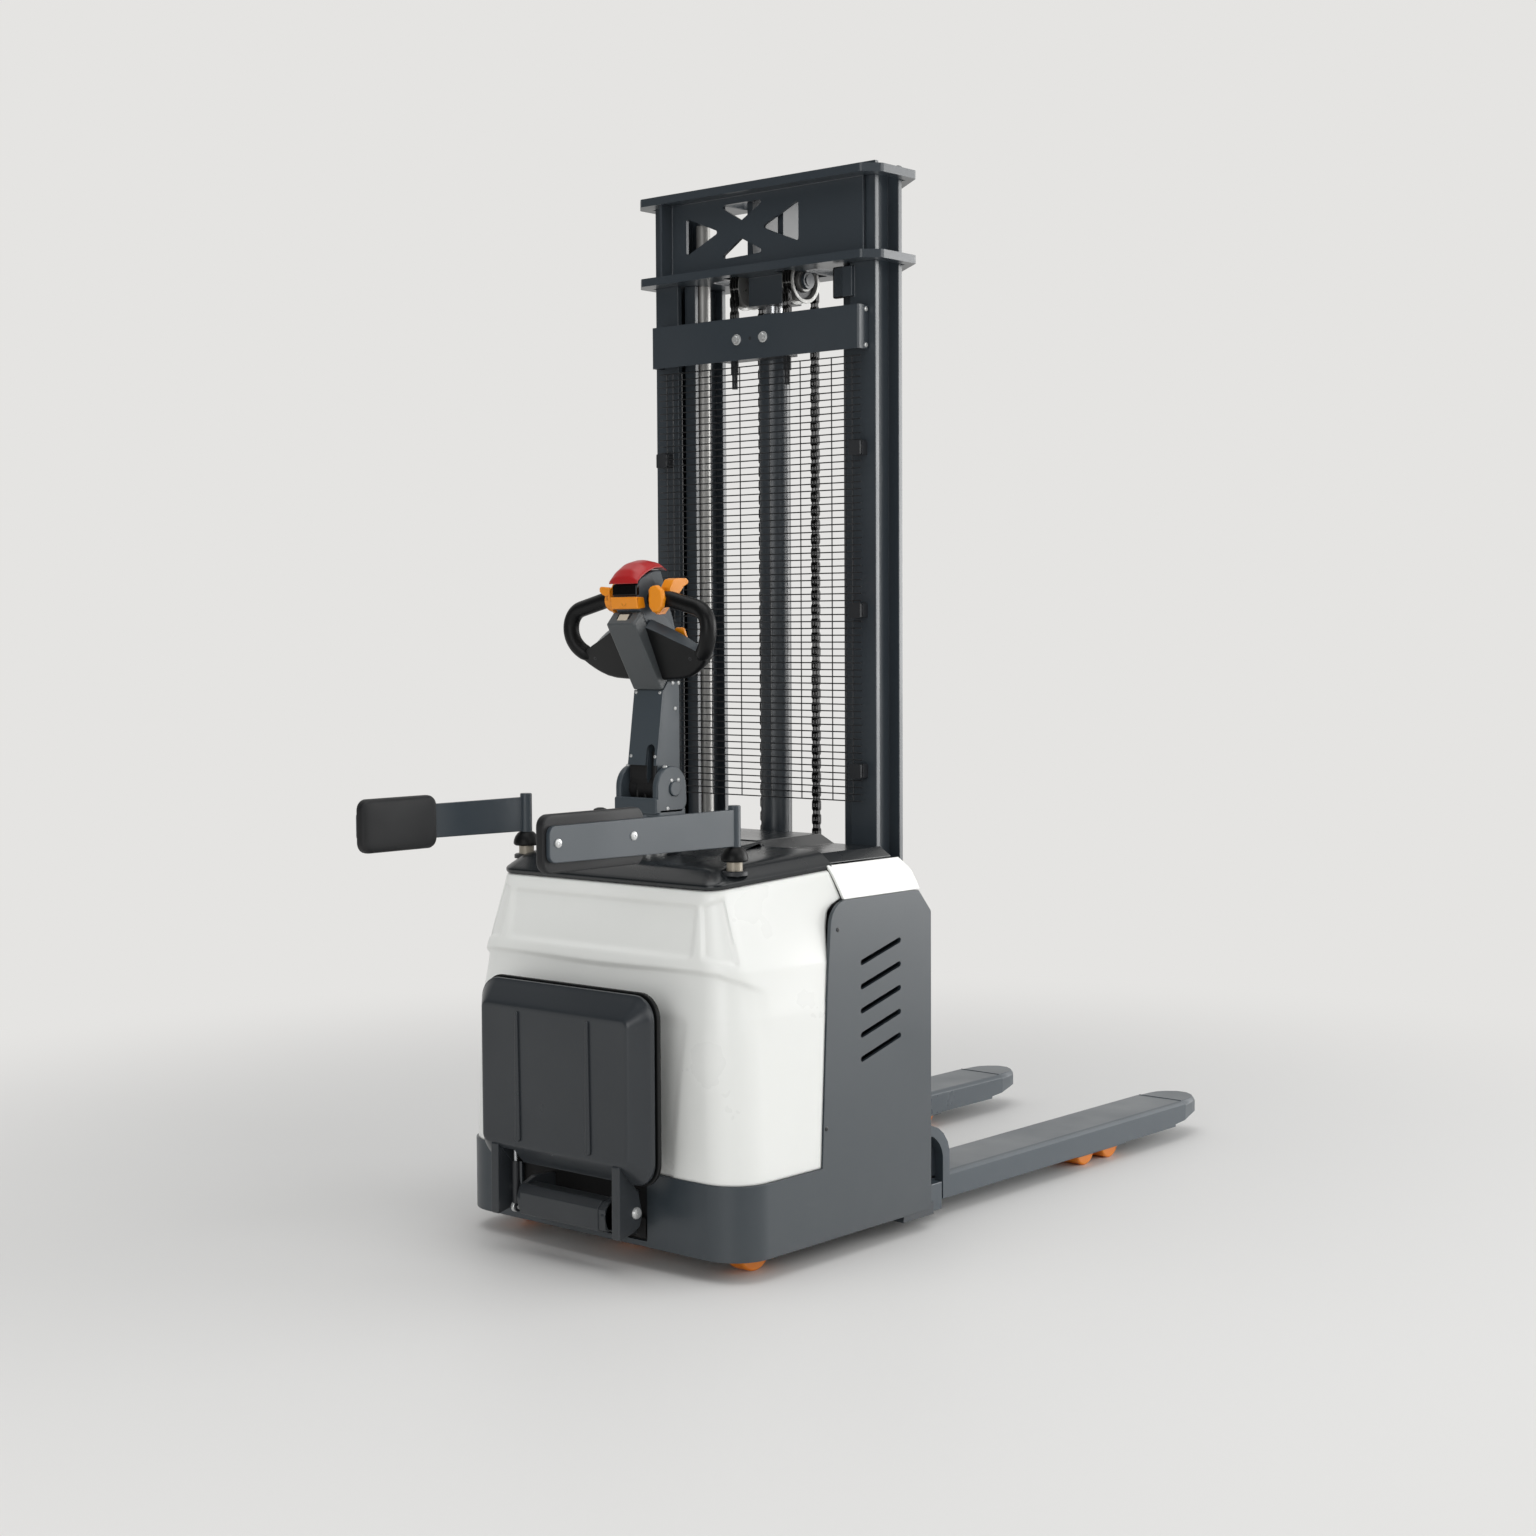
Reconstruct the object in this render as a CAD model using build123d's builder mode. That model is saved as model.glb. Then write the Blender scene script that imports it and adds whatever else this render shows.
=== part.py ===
"""Electric walk-and-ride stacker with a two-stage mast, as separate named parts in millimetres.

X runs across the truck, Y runs forward to the fork tips and Z runs up.
The origin lies on the floor under the middle of the bounding box.
"""
import math
import os

from build123d import *

os.makedirs("parts", exist_ok=True)

# overall lengths, with Y counted from the rear face of the skirt
HALF_WIDTH = 415.0
PAD_REAR_RIGHT = -428.0
PAD_REAR_LEFT = -372.0
FORK_TIP = 1916.0
Y0 = (FORK_TIP + PAD_REAR_RIGHT) / 2

# clearances
RUN = 0.1
GAP = 0.4

# chassis
SKIRT_T = 8.0
SKIRT_LOW = 46.0
SKIRT_TOP = 201.5
SKIRT_R = 90.0
PANEL_FRONT = 637.0
PANEL_TOP = 756.0
FLOOR_LOW = 176.0
FLOOR_TOP = 190.0
BULKHEAD_Y = 548.0
FOOT_Y = 556.0
FOOT_FRONT = 656.0
FOOT_TOP = 58.0

# mast
RAIL_IN = 255.0
RAIL_OUT = 325.0
RAIL_REAR = 560.0
RAIL_FRONT = 655.0
FLANGE_T = 13.0
RAIL_TOP = 2328.0
INNER_IN = 220.0
INNER_OUT = 252.0
INNER_REAR = 580.0
INNER_FRONT = 686.0
INNER_LOW = 88.0
LOW_PLATE = 2115.0
HIGH_PLATE = 2297.0
PLATE_T = 18.0
PULLEY_X = 78.0
PULLEY_Y = 605.5
PULLEY_Z = 2098.0
PULLEY_R = 48.0
SIDE_RAM_X = 223.0
SIDE_RAM_Y = 613.5

# forks and wheels
FORK_X = 288.0
FORK_HALF = 77.0
FORK_TOP = 98.0
FORK_LOW = 40.0
LOAD_R = 40.0
LOAD_Y = (1385.0, 1495.0)
CASTER_X = HALF_WIDTH - 97.0
CASTER_Y = 110.0
CASTER_TRAIL = 25.0
CASTER_R = 50.0
DRIVE_Y = 190.0
DRIVE_R = 115.0
TURN_TOP = 2 * DRIVE_R + 2.0

# tiller and arms
PIVOT_Y = 197.0
PIVOT_Z = 983.0
HEAD_HALF = 39.0
BUTTON_X = 96.0
BUTTON_V = -3.0
ARM_X = HALF_WIDTH - 107.0
ARM_Y = 112.0
POST_R = 13.0
ARM_LOW = 879.0
ARM_HIGH = 955.0

# pedal
HINGE_Y = -64.0
HINGE_Z = 135.0
PEDAL_HALF = 252.0
PEDAL_LOW = 196.0
PEDAL_HIGH = 585.0
PEDAL_Y = -69.0

FLOOR = Plane(origin=(0, -Y0, 0), x_dir=(1, 0, 0), z_dir=(0, 0, 1))
SIDE = Plane(origin=(0, -Y0, 0), x_dir=(0, 1, 0), z_dir=(1, 0, 0))
DECK_SLOPE = math.radians(5.4)
DECK_Z = 791.5
DECK = Plane(
    origin=(0, 24 - Y0, DECK_Z),
    x_dir=(1, 0, 0),
    z_dir=(0, -math.sin(DECK_SLOPE), math.cos(DECK_SLOPE)),
)
TILT = math.radians(25)
GRIP = Plane(
    origin=(0, 163.6 - Y0, 1297.3),
    x_dir=(1, 0, 0),
    z_dir=(0, -math.cos(TILT), -math.sin(TILT)),
)


def across(y):
    """Return the plane across the truck at y, with X to the right, Z up and the normal to the rear."""
    return Plane(origin=(0, y - Y0, 0), x_dir=(1, 0, 0), z_dir=(0, -1, 0))


def poly(plane, points, rounds=None):
    """Return a polygon face on a plane, with chosen corners rounded."""
    with BuildSketch(plane) as shape:
        with BuildLine():
            Polyline(*points, close=True)
        make_face()
        for index, radius in (rounds or {}).items():
            px, py = points[index]
            near = shape.vertices().sort_by(lambda v: (v.X - px) ** 2 + (v.Y - py) ** 2)[0]
            fillet(near, radius)
    return shape.sketch


def box(plane, x0, x1, y0, y1, radius=0.0):
    """Return a rectangle on a plane, with equal corner rounds."""
    with BuildSketch(plane) as shape:
        with Locations(((x0 + x1) / 2, (y0 + y1) / 2)):
            if radius > 0:
                RectangleRounded(x1 - x0, y1 - y0, radius)
            else:
                Rectangle(x1 - x0, y1 - y0)
    return shape.sketch


def ring(plane, cx, cy, outer, inner=0.0):
    """Return a disc or a ring on a plane."""
    with BuildSketch(plane) as shape:
        with Locations((cx, cy)):
            Circle(outer)
            if inner > 0:
                Circle(inner, mode=Mode.SUBTRACT)
    return shape.sketch


def hexagon(plane, cx, cy, radius):
    """Return a hexagon on a plane."""
    with BuildSketch(plane) as shape:
        with Locations((cx, cy)):
            RegularPolygon(radius, 6)
    return shape.sketch


def flip(points, side):
    """Return points mirrored to the left when side is -1."""
    return [(side * x, y) for x, y in points]


def span(side, low, high):
    """Return the ordered pair of a range on the right, or of its mirror on the left."""
    return (low, high) if side > 0 else (-high, -low)


def save(builder, name):
    """Label one part and write its file."""
    builder.part.label = name
    export_step(builder.part, f"parts/{name}.step")


SIDES = (-1, 1)

# chassis skirt with its side panels
panel = [(262, SKIRT_LOW), (262, 203), (278, 553), (294, PANEL_TOP), (592, PANEL_TOP),
         (PANEL_FRONT, 706), (PANEL_FRONT, SKIRT_LOW)]
with BuildPart() as skirt_frame:
    outer = [(-HALF_WIDTH, PANEL_FRONT), (-HALF_WIDTH, 0), (HALF_WIDTH, 0), (HALF_WIDTH, PANEL_FRONT)]
    inner_x = HALF_WIDTH - SKIRT_T
    inner = [(-inner_x, PANEL_FRONT + 5), (-inner_x, SKIRT_T), (inner_x, SKIRT_T), (inner_x,
                                                                                    PANEL_FRONT + 5)]
    extrude(poly(FLOOR.offset(SKIRT_LOW), outer, {1: SKIRT_R, 2: SKIRT_R}), amount=SKIRT_TOP - SKIRT_LOW)
    extrude(poly(FLOOR.offset(SKIRT_LOW), inner, {1: SKIRT_R - SKIRT_T, 2: SKIRT_R - SKIRT_T}),
            amount=SKIRT_TOP - SKIRT_LOW, mode=Mode.SUBTRACT)
    for side in SIDES:
        low, high = span(side, inner_x, HALF_WIDTH)
        extrude(poly(SIDE.offset(low), panel, {3: 52, 4: 10, 5: 10}), amount=SKIRT_T)
    for slot in range(5):
        with BuildSketch(SIDE.offset(-HALF_WIDTH - 15)) as louver:
            with Locations((459.5, 636 - 51.5 * slot)):
                SlotOverall(143.5, 12, rotation=15)
        extrude(louver.sketch, amount=2 * HALF_WIDTH + 30, mode=Mode.SUBTRACT)
    extrude(box(across(SKIRT_T + 1), -215, 160, 58, 178, 5), amount=SKIRT_T + 2, mode=Mode.SUBTRACT)
save(skirt_frame, "skirt_frame")

# floor plate with the turntable ring, the front bulkhead, the mast foot and the lid hinge blocks
with BuildPart() as base_plate:
    plate = [(-inner_x, BULKHEAD_Y), (-inner_x, SKIRT_T), (inner_x, SKIRT_T), (inner_x, BULKHEAD_Y)]
    extrude(poly(FLOOR.offset(FLOOR_LOW), plate, {1: SKIRT_R - SKIRT_T, 2: SKIRT_R - SKIRT_T}),
            amount=FLOOR_TOP - FLOOR_LOW)
    extrude(ring(FLOOR.offset(FLOOR_LOW), 0, DRIVE_Y, 145), amount=TURN_TOP - FLOOR_LOW)
    extrude(ring(FLOOR.offset(FLOOR_LOW), 0, DRIVE_Y, 118), amount=TURN_TOP - FLOOR_LOW,
            mode=Mode.SUBTRACT)
    extrude(box(across(FOOT_Y), -inner_x, inner_x, 30, 746), amount=FOOT_Y - BULKHEAD_Y)
    extrude(box(across(FOOT_Y), 75 - HALF_WIDTH, HALF_WIDTH - 75, 740, 838), amount=FOOT_Y - BULKHEAD_Y)
    extrude(box(across(FOOT_FRONT), -inner_x, inner_x, 30, FOOT_TOP), amount=FOOT_FRONT - FOOT_Y)
    for side in SIDES:
        low, high = span(side, 240, 280)
        extrude(box(across(BULKHEAD_Y), low, high, 800, 838), amount=12)
        extrude(box(across(541), low, high, 830, 844.6), amount=5)
save(base_plate, "base_plate")

# support legs with their wheel axles
with BuildPart() as support_legs:
    for side in SIDES:
        low, high = span(side, FORK_X - 54, FORK_X + 54)
        extrude(box(FLOOR.offset(30), low, high, FOOT_FRONT, 1335), amount=54)
        extrude(box(FLOOR.offset(34), low, high, 1548, 1572), amount=44)
        low, high = span(side, FORK_X + 53, 375)
        extrude(box(FLOOR.offset(22), low, high, FOOT_FRONT, 731), amount=62)
        for a, b in ((FORK_X - 54, FORK_X - 44), (FORK_X + 44, FORK_X + 54)):
            low, high = span(side, a, b)
            extrude(box(FLOOR.offset(28), low, high, 1334, 1549), amount=52)
        low, high = span(side, FORK_X - 54, FORK_X + 54)
        for wheel_y in LOAD_Y:
            extrude(ring(SIDE.offset(low), wheel_y, LOAD_R, 8), amount=high - low)
save(support_legs, "support_legs")


def load_wheel(side, wheel_y, name):
    """Write one load wheel with its bearing bore."""
    with BuildPart() as wheel:
        low, high = span(side, FORK_X - 42, FORK_X + 42)
        extrude(ring(SIDE.offset(low), wheel_y, LOAD_R, LOAD_R, 8 + RUN), amount=high - low)
        rims = wheel.edges().filter_by(GeomType.CIRCLE).filter_by(lambda e: e.radius > LOAD_R - 1)
        chamfer(rims, 3)
    save(wheel, name)


load_wheel(-1, LOAD_Y[0], "load_wheel_left_rear")
load_wheel(-1, LOAD_Y[1], "load_wheel_left_front")
load_wheel(1, LOAD_Y[0], "load_wheel_right_rear")
load_wheel(1, LOAD_Y[1], "load_wheel_right_front")


def caster(side, suffix):
    """Write one swivel caster as its fork and its wheel."""
    wheel_y = CASTER_Y + CASTER_TRAIL
    cheek = [(84, 168), (150, 168), (152, 50), (146, 38), (124, 38), (118, 50)]
    with BuildPart() as fork:
        extrude(ring(FLOOR.offset(160), side * CASTER_X, CASTER_Y, 38), amount=FLOOR_LOW - GAP - 160)
        for a, b in ((26, 32), (-32, -26)):
            low, high = span(side, CASTER_X + a, CASTER_X + b)
            extrude(poly(SIDE.offset(low), cheek), amount=6)
        low, high = span(side, CASTER_X - 32, CASTER_X + 32)
        extrude(box(SIDE.offset(low), 84, 150, 160, 168), amount=64)
        extrude(ring(SIDE.offset(low), wheel_y, CASTER_R, 6), amount=64)
    save(fork, f"caster_fork_{suffix}")
    with BuildPart() as wheel:
        low, high = span(side, CASTER_X - 22, CASTER_X + 22)
        extrude(ring(SIDE.offset(low), wheel_y, CASTER_R, CASTER_R, 6 + RUN), amount=44)
        rims = wheel.edges().filter_by(GeomType.CIRCLE).filter_by(lambda e: e.radius > CASTER_R - 1)
        fillet(rims, 5)
    save(wheel, f"caster_wheel_{suffix}")


caster(-1, "left")
caster(1, "right")

# drive unit, its wheel and the steering column
with BuildPart() as drive_unit:
    extrude(ring(FLOOR.offset(TURN_TOP + 0.3), 0, DRIVE_Y, 140), amount=13.7)
    extrude(ring(FLOOR.offset(TURN_TOP + 14), 0, DRIVE_Y, 85), amount=470 - TURN_TOP - 14)
    extrude(box(SIDE.offset(42), 145, 235, DRIVE_R - 45, TURN_TOP + 1, 12), amount=48)
    extrude(ring(SIDE.offset(-40), DRIVE_Y, DRIVE_R, 15), amount=83)
save(drive_unit, "drive_unit")

with BuildPart() as drive_wheel:
    extrude(ring(SIDE.offset(-37.5), DRIVE_Y, DRIVE_R, DRIVE_R, 15 + RUN), amount=75)
    rims = drive_wheel.edges().filter_by(GeomType.CIRCLE).filter_by(lambda e: e.radius > DRIVE_R - 1)
    fillet(rims, 6)
save(drive_wheel, "drive_wheel")

with BuildPart() as steering_column:
    extrude(ring(FLOOR.offset(470), 0, DRIVE_Y, 50), amount=14)
    extrude(ring(FLOOR.offset(470), 0, DRIVE_Y, 33), amount=861 - 470)
save(steering_column, "steering_column")

# inner works under the covers
with BuildPart() as battery_pack:
    extrude(box(FLOOR.offset(FLOOR_TOP), -310, 310, 342, 540, 8), amount=560)
    for cell in range(12):
        extrude(ring(FLOOR.offset(750), -270 + 540 * cell / 11, 441, 16), amount=14)
save(battery_pack, "battery_pack")

with BuildPart() as hydraulic_unit:
    tank_end = 35.0 - HALF_WIDTH
    extrude(box(FLOOR.offset(FLOOR_TOP), tank_end, tank_end + 210, 70, 270, 14), amount=140)
    extrude(ring(FLOOR.offset(330), tank_end + 105, 170, 62), amount=36)
    extrude(ring(FLOOR.offset(366), tank_end + 105, 170, 56), amount=150)
    extrude(ring(FLOOR.offset(330), tank_end + 30, 110, 14), amount=30)
save(hydraulic_unit, "hydraulic_unit")

with BuildPart() as motor_controller:
    case_end = HALF_WIDTH - 40.0
    extrude(box(FLOOR.offset(FLOOR_TOP), case_end - 200, case_end, 75, 270, 6), amount=50)
    for fin in range(9):
        fin_x = case_end - 190 + 22 * fin
        extrude(box(FLOOR.offset(240), fin_x, fin_x + 5, 85, 260), amount=24)
save(motor_controller, "motor_controller")

# white rear cover: height, insets from the half width at front, knee and rear, rear face, corner round
COVER = ((202.0, 4.0, 4.0, 6.0, 3.0, 88.0),
         (535.0, 4.0, 7.0, 27.0, 9.0, 88.0),
         (632.0, 5.0, 13.0, 45.0, 14.0, 84.0),
         (840.0, 8.0, 67.0, 119.0, 50.0, 44.0))
SHELL = 5.0
CUT = HALF_WIDTH + 35.0
with BuildPart() as rear_cover:
    for inset, mode in ((0.0, Mode.ADD), (SHELL, Mode.SUBTRACT)):
        rings = []
        for height, front_in, knee_in, rear_in, rear, radius in COVER:
            front = HALF_WIDTH - front_in - inset
            knee = HALF_WIDTH - knee_in - inset
            end = HALF_WIDTH - rear_in - inset
            points = [(-front, 380 + inset), (-knee, 200), (-end, rear + inset), (end, rear + inset),
                      (knee, 200),
                      (front, 380 + inset)]
            rings.append(poly(FLOOR.offset(height), points, {2: radius - inset, 3: radius - inset}))
        loft(rings, ruled=True, mode=mode)
    seam = [(260.6, 150), (260.6, 203), (276.6, 553), (292.6, 700), (302.6, 740.4), (333.8, 757),
            (342, 757), (309, 832), (309, 900), (700, 900), (700, 150)]
    extrude(poly(SIDE.offset(-CUT), seam), amount=2 * CUT, mode=Mode.SUBTRACT)
    rise = math.tan(DECK_SLOPE)
    low_edge = DECK_Z - GAP
    crown = [(-80, low_edge - 104 * rise), (420, low_edge + 396 * rise), (420, 900), (-80, 900)]
    extrude(poly(SIDE.offset(-CUT), crown), amount=2 * CUT, mode=Mode.SUBTRACT)
save(rear_cover, "rear_cover")

# white shoulder covers over the side panels
with BuildPart() as shoulder_covers:
    for side in SIDES:
        skin = [(5, 756.3), (9, 776), (19, 810), (29, 829), (34, 826), (25, 806), (15.5, 775), (12, 756.3)]
        skin = [(HALF_WIDTH - inset, z) for inset, z in skin]
        extrude(poly(across(603), flip(skin, side)), amount=300)
    keep = [(344, 750), (310.5, 840), (552, 840), (558, 829), (588, 799), (603, 760), (603, 750)]
    extrude(poly(SIDE.offset(-CUT), keep), amount=2 * CUT, mode=Mode.INTERSECT)
save(shoulder_covers, "shoulder_covers")

# glossy top deck
DECK_FRONT = HALF_WIDTH - 27.0
DECK_REAR = HALF_WIDTH - 102.0


def deck_outline(inset, rear, front):
    """Return the deck's tapered outline, drawn in by an inset at the sides."""
    wide = DECK_FRONT - inset
    narrow = DECK_REAR - inset
    return [(-wide, front), (-narrow, rear), (narrow, rear), (wide, front)]


with BuildPart() as top_deck:
    extrude(poly(DECK, deck_outline(0, 16, 312), {1: 44, 2: 44}), amount=10)
    loft([poly(DECK.offset(10), deck_outline(3, 19, 311), {1: 42, 2: 42}),
          poly(DECK.offset(38), deck_outline(34, 64, 310), {1: 30, 2: 30})], ruled=True)
    swell = [(150, 815), (331, 838), (331, 867), (210, 849), (170, 842)]
    extrude(poly(SIDE.offset(-180), swell), amount=360)
    flank = [(331, 838), (331, 850), (235, 840), (200, 820)]
    extrude(poly(SIDE.offset(-216), flank), amount=432)
    extrude(poly(DECK.offset(-1), deck_outline(14, 32, 296)), amount=7, mode=Mode.SUBTRACT)
    extrude(box(FLOOR.offset(700), -450, 450, 331 - GAP, 400), amount=300, mode=Mode.SUBTRACT)
    extrude(ring(FLOOR.offset(700), 0, DRIVE_Y, 33.5), amount=250, mode=Mode.SUBTRACT)
    extrude(ring(FLOOR.offset(700), -130, 165, 7.3), amount=250, mode=Mode.SUBTRACT)
    for side in SIDES:
        low, high = span(side, HALF_WIDTH - 36, HALF_WIDTH)
        extrude(box(FLOOR.offset(700), low, high, 300, 340), amount=250, mode=Mode.SUBTRACT)
        extrude(ring(FLOOR.offset(700), side * ARM_X, ARM_Y, POST_R + 0.6), amount=250, mode=Mode.SUBTRACT)
        extrude(ring(FLOOR.offset(826), side * ARM_X, ARM_Y, 30), amount=60, mode=Mode.SUBTRACT)
save(top_deck, "top_deck")

# battery lid, with the hinge knuckles at its front edge
LID_HALF = HALF_WIDTH - 40.0
with BuildPart() as battery_lid:
    crest = [(-LID_HALF, 831), (30 - LID_HALF, 850), (-216, 850), (-178, 869), (178, 869), (216, 850),
             (LID_HALF - 30, 850), (LID_HALF, 831), (LID_HALF - 5, 828), (LID_HALF - 32, 845),
             (214, 845), (176, 864), (-176, 864), (-214, 845), (32 - LID_HALF, 845),
             (5 - LID_HALF, 828)]
    extrude(poly(across(547.5), crest), amount=547.5 - 331)
    for side in SIDES:
        low, high = span(side, 232, 288)
        extrude(ring(SIDE.offset(low), 545, 846, 3.2), amount=56)
save(battery_lid, "battery_lid")

# emergency disconnect knob
with BuildPart() as disconnect_knob:
    extrude(ring(FLOOR.offset(800), -130, 165, 7), amount=106)
    extrude(ring(FLOOR.offset(906), -130, 165, 17), amount=30)
    fillet(disconnect_knob.edges().filter_by(GeomType.CIRCLE).filter_by(lambda e: e.radius > 16), 6)
save(disconnect_knob, "disconnect_knob")

# outer mast rails, with the rear flange cut back for roller service near the top
with BuildPart() as outer_rails:
    for side in SIDES:
        beam = [(RAIL_IN, RAIL_REAR), (RAIL_OUT, RAIL_REAR), (RAIL_OUT, RAIL_REAR + FLANGE_T),
                (296, RAIL_REAR + FLANGE_T), (296, RAIL_FRONT - FLANGE_T),
                (RAIL_OUT, RAIL_FRONT - FLANGE_T), (RAIL_OUT, RAIL_FRONT), (RAIL_IN, RAIL_FRONT),
                (RAIL_IN, RAIL_FRONT - FLANGE_T), (284, RAIL_FRONT - FLANGE_T),
                (284, RAIL_REAR + FLANGE_T), (RAIL_IN, RAIL_REAR + FLANGE_T)]
        extrude(poly(FLOOR.offset(FOOT_TOP), flip(beam, side)), amount=RAIL_TOP - FOOT_TOP)
    extrude(box(across(RAIL_REAR), 217, 268, 2043, 2108), amount=10)
    extrude(box(across(RAIL_REAR + FLANGE_T), 217, RAIL_IN, 2049, 2102), amount=FLANGE_T)
save(outer_rails, "outer_rails")

# rear crossbar of the outer mast
with BuildPart() as mast_crossbar:
    bend = [(-306, RAIL_REAR), (-306, 525), (306, 525), (306, RAIL_REAR), (300, RAIL_REAR),
            (300, 531), (-300, 531),
            (-300, RAIL_REAR)]
    extrude(poly(FLOOR.offset(1926), bend, {1: 5, 2: 5}), amount=94)
    for hole_x, hole_r in ((-43, 8), (-4, 4), (35, 8)):
        extrude(ring(across(540), hole_x, 1972, hole_r), amount=30, mode=Mode.SUBTRACT)
save(mast_crossbar, "mast_crossbar")

# bright bolts of the crossbar and screws of the side panels
with BuildPart() as chassis_bolts:
    for bolt_x in (-43, 35):
        extrude(ring(across(525), bolt_x, 1972, 12.5), amount=2)
        extrude(hexagon(across(523), bolt_x, 1972, 10.5), amount=7)
        extrude(ring(across(545), bolt_x, 1972, 7.7), amount=21)
    for side in SIDES:
        for screw_y, screw_z in ((314, 696), (275, 283)):
            low, high = span(side, HALF_WIDTH, HALF_WIDTH + 1.5)
            extrude(ring(SIDE.offset(low), screw_y, screw_z, 5), amount=high - low)
save(chassis_bolts, "chassis_bolts")

# chain anchors under the crossbar
with BuildPart() as chain_anchors:
    extrude(box(FLOOR.offset(1926), -100, 100, 531, 567), amount=12)
    for side in SIDES:
        anchor_x = side * PULLEY_X
        anchor_y = PULLEY_Y - PULLEY_R
        extrude(ring(FLOOR.offset(1866), anchor_x, anchor_y, 6.5), amount=110)
        extrude(hexagon(FLOOR.offset(1898), anchor_x, anchor_y, 9.5), amount=28)
        extrude(box(FLOOR.offset(1960), anchor_x - 10, anchor_x + 10, anchor_y - 6.5, anchor_y + 6.5),
                amount=38)
save(chain_anchors, "chain_anchors")

# wire guard between the rails, and its clips
GUARD_LOW = 945.0
GUARD_HIGH = 1915.0
GUARD_ROWS = 48
with BuildPart() as mesh_guard:
    with BuildSketch(across(542)) as net:
        with Locations((0, (GUARD_LOW + GUARD_HIGH) / 2)):
            Rectangle(600, GUARD_HIGH - GUARD_LOW)
            pitch = (GUARD_HIGH - GUARD_LOW - 4) / GUARD_ROWS
            with GridLocations(100 - 0.7, pitch, 6, GUARD_ROWS):
                Rectangle(95.3, pitch - 4, mode=Mode.SUBTRACT)
    extrude(net.sketch, amount=3)
save(mesh_guard, "mesh_guard")

with BuildPart() as mesh_clips:
    for side in SIDES:
        for clip_z in (1012, 1362, 1714):
            low, high = span(side, 272, 302)
            extrude(box(across(RAIL_REAR), low, high, clip_z - 16, clip_z + 16, 3), amount=RAIL_REAR - 542)
            extrude(box(across(539), low, high, clip_z - 16, clip_z + 16, 3), amount=6)
save(mesh_clips, "mesh_clips")

# lift cylinders of the outer mast
with BuildPart() as lift_barrel:
    extrude(ring(FLOOR.offset(FOOT_TOP), 0, PULLEY_Y, 35), amount=1932)
    extrude(ring(FLOOR.offset(1985), 0, PULLEY_Y, 27), amount=47)
    extrude(ring(FLOOR.offset(100), 0, PULLEY_Y, 26), amount=1885, mode=Mode.SUBTRACT)
    extrude(ring(FLOOR.offset(1985), 0, PULLEY_Y, 20 + RUN), amount=60, mode=Mode.SUBTRACT)
save(lift_barrel, "lift_barrel")

with BuildPart() as side_barrels:
    for side in SIDES:
        ram_x = side * SIDE_RAM_X
        extrude(ring(FLOOR.offset(FOOT_TOP), ram_x, SIDE_RAM_Y, 16), amount=2255 - FOOT_TOP)
        extrude(ring(FLOOR.offset(100), ram_x, SIDE_RAM_Y, 13), amount=2140, mode=Mode.SUBTRACT)
        extrude(ring(FLOOR.offset(2240), ram_x, SIDE_RAM_Y, 11 + RUN), amount=30, mode=Mode.SUBTRACT)
save(side_barrels, "side_barrels")

# inner mast rails inside the outer ones, each with a guide rib, and their rollers and the low tie
RIB_REAR = 631.0
RIB_FRONT = 636.0
with BuildPart() as inner_rails:
    for side in SIDES:
        beam = [(INNER_IN, INNER_REAR), (INNER_OUT, INNER_REAR), (INNER_OUT, INNER_FRONT),
                (INNER_IN, INNER_FRONT), (INNER_IN, INNER_FRONT - 12), (241, INNER_FRONT - 12),
                (241, RIB_FRONT), (222, RIB_FRONT), (222, RIB_REAR), (241, RIB_REAR),
                (241, INNER_REAR + 12), (INNER_IN, INNER_REAR + 12)]
        extrude(poly(FLOOR.offset(INNER_LOW), flip(beam, side)), amount=LOW_PLATE - INNER_LOW)
        low, high = span(side, INNER_OUT - 1, 263)
        extrude(box(FLOOR.offset(100), low, high, 590, 638), amount=80)
        low, high = span(side, 262, 283)
        extrude(ring(SIDE.offset(low), (RAIL_REAR + RAIL_FRONT) / 2, 140, 34), amount=high - low)
    extrude(box(FLOOR.offset(INNER_LOW), -240, 240, INNER_FRONT - 2, INNER_FRONT + 8), amount=8)
save(inner_rails, "inner_rails")

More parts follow.
